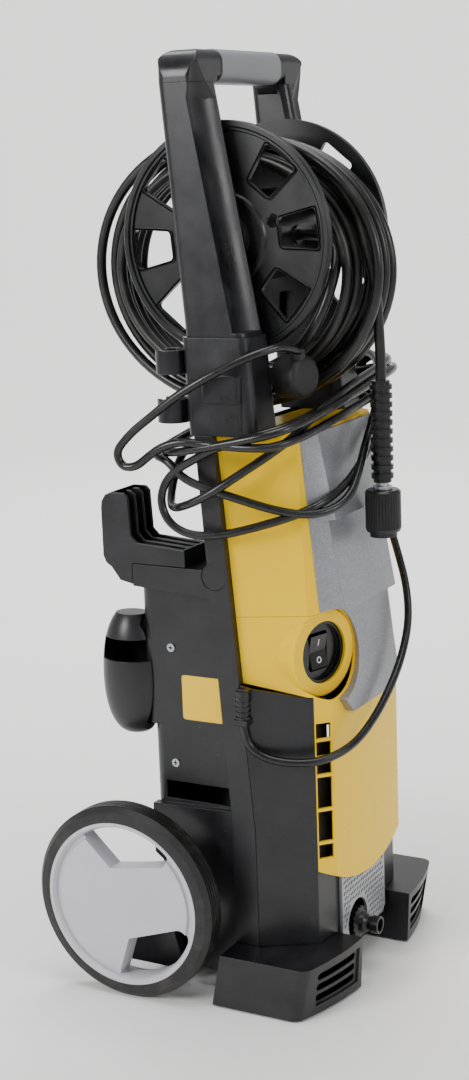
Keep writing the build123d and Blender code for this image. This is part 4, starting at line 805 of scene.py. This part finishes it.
@dataclass
class PressureHose:
    """High-pressure hose hung in loose turns over the reel, its end straight down in front."""

    material: bpy.types.Material
    diameter: float = 0.010
    length: float = 8.0
    points_per_turn: int = 14
    loops: tuple[HoseLoop, ...] = (
        HoseLoop(-0.0280, -0.006, 0.692, 0.114, 0.102),
        HoseLoop(-0.0170, -0.010, 0.690, 0.124, 0.108),
        HoseLoop(-0.0055, -0.012, 0.689, 0.127, 0.110),
        HoseLoop(0.0060, -0.009, 0.690, 0.125, 0.109),
        HoseLoop(0.0175, -0.013, 0.688, 0.128, 0.111),
        HoseLoop(0.0285, -0.011, 0.689, 0.126, 0.110),
        HoseLoop(0.0335, -0.013, 0.688, 0.144, 0.127),
        HoseLoop(0.0195, -0.015, 0.688, 0.141, 0.124),
        HoseLoop(0.0085, -0.013, 0.688, 0.140, 0.123),
        HoseLoop(-0.0130, -0.014, 0.688, 0.150, 0.130),
        HoseLoop(-0.0020, 0.001, 0.690, 0.153, 0.130),
    )

    def turns(self) -> list[Point]:
        """The turns, each drifting into the next, from inside outwards.

        Returns:
            The control points, in metres.
        """
        points = []
        for before, after in zip(self.loops, self.loops[1:]):
            for i in range(self.points_per_turn):
                share = i / self.points_per_turn
                angle = 2 * pi * share
                x, y, z, half_y, half_z = (
                    getattr(before, key) + (getattr(after, key) - getattr(before, key)) * share
                    for key in ("x", "y", "z", "half_y", "half_z")
                )
                points.append((x, y - half_y * cos(angle), z - half_z * sin(angle)))
        return points

    def route(self) -> list[Point]:
        """Whole route from the drum's outlet to the bend relief.

        Returns:
            The control points, in metres.
        """
        out_of_drum = [(0.0, -0.0746, 0.721), (-0.003, -0.101, 0.722), (-0.010, -0.123, 0.709)]
        tail = [
            (-0.0015, -0.1520, 0.676), (0.000, -0.1522, 0.662), (0.0015, -0.1525, 0.646),
            (0.003, -0.153, 0.626), (0.0045, -0.153, 0.606), (0.004, -0.153, 0.586),
        ]
        return out_of_drum + self.turns()[1:] + tail

    def build(self, pieces: list[bpy.types.Object]) -> bpy.types.Object:
        """Args:
            pieces: The pieces that lie on it; not used.

        Returns:
            The hose's object.
        """
        points = self.route()
        hose = cord_curve("pressure_hose", points, self.diameter / 2, self.material)
        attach(hose, "machine")
        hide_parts("hose_coil", "hose_tail")
        LOG.info("pressure hose of %d points", len(points))
        return hose


# ---------------------------------------------------------------- fine pieces
def round_corners(form: bmesh.types.BMesh, verts: list[bmesh.types.BMVert], radius: float) -> None:
    """Round the corners of a flat face.

    Args:
        form: The mesh that holds the face.
        verts: Its corners.
        radius: How far the rounding reaches along each edge, in metres.
    """
    bmesh.ops.bevel(
        form,
        geom=verts,
        offset=radius,
        segments=CORNER_SEGMENTS,
        affect="VERTICES",
        profile=0.5,
        material=-1,
    )


def ring_from_face(
    form: bmesh.types.BMesh, face: bmesh.types.BMFace, width: float, height: float
) -> None:
    """Turn a flat face into a raised ring along its edge.

    Args:
        form: The mesh that holds the face.
        face: The face, whose normal points out of the surface it lies on.
        width: Width of the ring, in metres.
        height: How far it stands up, in metres.
    """
    ring = bmesh.ops.inset_region(
        form, faces=[face], thickness=width, use_boundary=True, use_even_offset=True
    )["faces"]
    bmesh.ops.delete(form, geom=[face], context="FACES_ONLY")
    bmesh.ops.solidify(form, geom=ring, thickness=-height)


def finish_form(form: bmesh.types.BMesh, name: str, round_mm: float) -> bpy.types.Mesh:
    """Close a bmesh into a named mesh with even normals.

    Args:
        form: The mesh being built; it is freed.
        name: Name of the mesh.
        round_mm: Rounding of its edges, or nought for none.

    Returns:
        The finished mesh.
    """
    if round_mm:
        limit = radians(ROUND_SHARP_DEGREES)
        sharp = [edge for edge in form.edges if edge.is_manifold and edge.calc_face_angle(0.0) > limit]
        bmesh.ops.bevel(
            form, geom=sharp, offset=round_mm * MM, segments=2, affect="EDGES", profile=0.5, material=-1
        )
    bmesh.ops.recalc_face_normals(form, faces=form.faces)
    mesh = bpy.data.meshes.new(name)
    form.to_mesh(mesh)
    form.free()
    smooth_shade(mesh)
    return mesh


@dataclass
class ReelBeads:
    """Raised beads moulded round the windows of both reel flanges."""

    material: bpy.types.Material
    axle_y: float = -0.0296
    axle_z: float = 0.721
    web_face: float = 0.0622
    first_angle: float = 5.5
    positions: int = 8
    peg_position: int = 2
    inner: float = 0.057
    outer: float = 0.095
    half_inner: float = 0.013
    half_outer: float = 0.019
    corner: float = 0.005
    width: float = 0.0022
    height: float = 0.0016
    round_mm: float = 0.4

    def window(self, form: bmesh.types.BMesh, side: int, angle: float) -> None:
        """Add the bead of one window.

        Args:
            form: The mesh being built.
            side: -1 for the left flange, 1 for the right one.
            angle: Direction of the window from the front, upwards, in degrees.
        """
        grown = self.width
        corners = [
            (self.inner - grown, -self.half_inner - grown),
            (self.outer + grown, -self.half_outer - grown),
            (self.outer + grown, self.half_outer + grown),
            (self.inner - grown, self.half_inner + grown),
        ]
        c, s = cos(radians(angle)), sin(radians(angle))
        verts = []
        for out, aside in corners:
            y = self.axle_y - out * c + aside * s
            z = self.axle_z + out * s + aside * c
            verts.append(form.verts.new((side * self.web_face, y, z)))
        face = form.faces.new(verts)
        face.normal_update()
        if face.normal.x * side < 0:
            face.normal_flip()
        round_corners(form, verts, self.corner)
        face = max(form.faces, key=lambda f: len(f.verts))
        ring_from_face(form, face, self.width, self.height)

    def build(self) -> None:
        """Make the beads of each flange as one piece."""
        for side, label in ((-1, "left"), (1, "right")):
            whole = bpy.data.meshes.new(label)
            form = bmesh.new()
            for position in range(self.positions):
                if position == self.peg_position:
                    continue
                one = bmesh.new()
                self.window(one, side, self.first_angle + 360 / self.positions * position)
                one.to_mesh(whole)
                one.free()
                form.from_mesh(whole)
            bpy.data.meshes.remove(whole)
            name = "reel_" + label + "_window_beads"
            mesh = finish_form(form, name, self.round_mm)
            piece = link_piece(name, mesh, self.material, "hose_reel")
        LOG.info("reel window beads")


@dataclass
class SwitchMarks:
    """On and off marks, a stroke and a ring, printed on the rocker's two halves."""

    material: bpy.types.Material
    centre: Point = (-0.062, -0.1193, 0.3371)
    turn: float = 16.0
    up: float = 0.0085
    middle_depth: float = 0.009
    end_depth: float = 0.0055
    half_height: float = 0.016
    stroke: tuple[float, float, float] = (0.0014, 0.0065, 0.0004)
    ring_radius: float = 0.0032
    ring_width: float = 0.0012
    ring_segments: int = 28

    def place(self, direction: int) -> Matrix:
        """Frame of one half of the rocker: across, along and out of its face.

        Args:
            direction: 1 for the upper half, -1 for the lower one.

        Returns:
            The frame, placed where the mark stands.
        """
        c, s = cos(radians(self.turn)), sin(radians(self.turn))
        across = Vector((c, -s, 0.0))
        out = Vector((-s, -c, 0.0))
        rise = (self.middle_depth - self.end_depth) / self.half_height
        along = (Vector((0.0, 0.0, 1.0)) + out * rise * direction).normalized()
        normal = across.cross(along)
        depth = self.middle_depth - self.up * rise
        origin = Vector(self.centre) - out * depth + Vector((0.0, 0.0, self.up * direction))
        frame = Matrix((across, along, normal)).transposed().to_4x4()
        return Matrix.Translation(origin) @ frame

    def build(self) -> None:
        """Make both marks."""
        stroke = bmesh.new()
        bmesh.ops.create_cube(stroke, size=1.0)
        bmesh.ops.scale(stroke, vec=self.stroke, verts=stroke.verts)
        bmesh.ops.transform(stroke, matrix=self.place(1), verts=stroke.verts)
        ring = bmesh.new()
        bmesh.ops.create_circle(
            ring, cap_ends=True, segments=self.ring_segments, radius=self.ring_radius
        )
        ring_from_face(ring, ring.faces[:][0], self.ring_width, height=self.stroke[2])
        bmesh.ops.transform(ring, matrix=self.place(-1), verts=ring.verts)
        for name, form in (("rocker_on_mark", stroke), ("rocker_off_mark", ring)):
            mesh = finish_form(form, name, round_mm=0.0)
            piece = link_piece(name, mesh, self.material, "power_switch")
        LOG.info("rocker marks")


@dataclass
class SideLabel:
    """Blank yellow label on the left side of the rear housing."""

    material: bpy.types.Material
    face_x: float = -0.108
    low: Span = (-0.036, 0.270)
    high: Span = (0.010, 0.314)
    corner: float = 0.003
    thickness: float = 0.0004

    def build(self) -> None:
        """Make the label."""
        form = bmesh.new()
        bmesh.ops.create_grid(form, x_segments=1, y_segments=1, size=0.5)
        size = (self.high[0] - self.low[0], self.high[1] - self.low[1])
        bmesh.ops.scale(form, vec=(size[0], size[1], 1.0), verts=form.verts)
        round_corners(form, form.verts[:], self.corner)
        bmesh.ops.solidify(form, geom=form.faces[:], thickness=self.thickness)
        middle = ((self.low[0] + self.high[0]) / 2, (self.low[1] + self.high[1]) / 2)
        upright = Matrix(((0, 0, -1), (-1, 0, 0), (0, 1, 0))).to_4x4()
        place = Matrix.Translation((self.face_x - self.thickness / 2, *middle)) @ upright
        bmesh.ops.transform(form, matrix=place, verts=form.verts)
        mesh = finish_form(form, "side_label", round_mm=0.0)
        piece = link_piece("side_label", mesh, self.material, "machine")
        LOG.info("side label")


# ---------------------------------------------------------------- studio
@dataclass(frozen=True)
class Softbox:
    """One square soft light, with its stand, target and edge in metres and its power in watts."""

    name: str
    place: Point
    target: Point
    size: float
    power: float

    def build(self) -> None:
        """Add the light."""
        lamp = bpy.data.lights.new(self.name, "AREA")
        lamp.size = self.size
        lamp.energy = self.power
        holder = bpy.data.objects.new(self.name, lamp)
        aim = Vector(self.target) - Vector(self.place)
        turned = aim.to_track_quat("-Z", "Y").to_matrix().to_4x4()
        holder.matrix_world = Matrix.Translation(self.place) @ turned
        bpy.context.scene.collection.objects.link(holder)


@dataclass
class Studio:
    """Pale floor, soft lights and the camera."""

    camera_place: Point = (-1.5516, -0.8492, 0.8032)
    camera_turn: float = -61.12
    camera_pitch: float = 12.1
    camera_roll: float = -2.12
    lens_mm: float = 61.04
    sensor_mm: float = 36.0
    floor_flat: float = 3.2
    floor_edge: float = 5.2
    cove_steps: int = 12
    cove_segments: int = 72
    floor_colour: str = "f6f6f5"
    floor_roughness: float = 0.8
    sky_colour: str = "ffffff"
    sky_strength: float = 0.42
    lights: tuple[Softbox, ...] = (
        Softbox("left_softbox", (-2.1, 1.0, 1.5), (0.0, 0.0, 0.5), 0.9, 40.0),
        Softbox("front_softbox", (-0.5, -2.4, 1.4), (0.0, 0.0, 0.5), 0.8, 17.0),
        Softbox("top_softbox", (-0.3, -0.2, 2.9), (0.0, 0.0, 0.5), 1.6, 40.0),
        Softbox("backdrop_wash", (1.6, 0.8, 3.0), (3.4, 1.8, 0.4), 2.0, 150.0),
    )

    def floor(self) -> None:
        """Spin the floor: flat under the machine, turning up into a cove all round."""
        mesh = bpy.data.meshes.new("floor")
        form = bmesh.new()
        rise = self.floor_edge - self.floor_flat
        profile = [form.verts.new((0.0, 0.0, 0.0))]
        for i in range(self.cove_steps + 1):
            turn = 0.5 * pi * i / self.cove_steps
            place = (self.floor_flat + rise * sin(turn), 0.0, rise * (1 - cos(turn)))
            profile.append(form.verts.new(place))
        edges = [form.edges.new(pair) for pair in zip(profile, profile[1:])]
        bmesh.ops.spin(
            form, geom=profile + edges, cent=(0, 0, 0), axis=(0, 0, 1), angle=2 * pi,
            steps=self.cove_segments, use_merge=True,
        )
        bmesh.ops.remove_doubles(form, verts=form.verts, dist=MM)
        bmesh.ops.recalc_face_normals(form, faces=form.faces)
        form.to_mesh(mesh)
        form.free()
        mesh.shade_smooth()
        material, _, shader = new_material("pale_floor")
        shader.inputs["Base Color"].default_value = linear(self.floor_colour)
        shader.inputs["Roughness"].default_value = self.floor_roughness
        mesh.materials.append(material)
        floor = bpy.data.objects.new("floor", mesh)
        bpy.context.scene.collection.objects.link(floor)

    def sky(self) -> None:
        """Fill the surroundings with soft white."""
        world = bpy.data.worlds.new("studio_white")
        world.use_nodes = True
        background = world.node_tree.nodes["Background"]
        background.inputs["Color"].default_value = linear(self.sky_colour)
        background.inputs["Strength"].default_value = self.sky_strength
        bpy.context.scene.world = world

    def camera(self) -> None:
        """Place the camera."""
        turn = radians(self.camera_turn)
        pitch = radians(self.camera_pitch)
        roll = radians(self.camera_roll)
        back = Vector((sin(turn) * cos(pitch), -cos(turn) * cos(pitch), sin(pitch)))
        right = Vector((cos(turn), sin(turn), 0.0))
        up = back.cross(right)
        rolled_right = cos(roll) * right + sin(roll) * up
        rolled_up = -sin(roll) * right + cos(roll) * up
        axes = Matrix((rolled_right, rolled_up, back)).transposed().to_4x4()
        data = bpy.data.cameras.new("camera")
        data.sensor_fit = "VERTICAL"
        data.sensor_height = self.sensor_mm
        data.lens = self.lens_mm
        camera = bpy.data.objects.new("camera", data)
        camera.matrix_world = Matrix.Translation(self.camera_place) @ axes
        bpy.context.scene.collection.objects.link(camera)
        bpy.context.scene.camera = camera

    def build(self) -> None:
        """Set up the whole studio."""
        self.floor()
        self.sky()
        for light in self.lights:
            light.build()
        self.camera()
        LOG.info("studio ready")


def main() -> None:
    """Build every piece round the frame."""
    logging.basicConfig(level=logging.INFO)
    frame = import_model()
    nodes = frame["nodes"]
    finishes = Finishes()
    Studio().build()
    MainsCable(finishes.get(FinishName.CABLE)).build(
        [nodes["mains_plug"], nodes["plug_pins"], nodes["cable_gland"]]
    )
    PressureHose(finishes.get(FinishName.HOSE)).build(
        [nodes["hose_bend_relief"], nodes["hose_stem"], nodes["hose_nut"]]
    )
    Shells(finishes).dress(nodes)
    ReelBeads(finishes.get(FinishName.REEL)).build()
    SwitchMarks(finishes.get(FinishName.MARK)).build()
    SideLabel(finishes.get(FinishName.LABEL)).build()


if __name__ == "__main__":
    main()
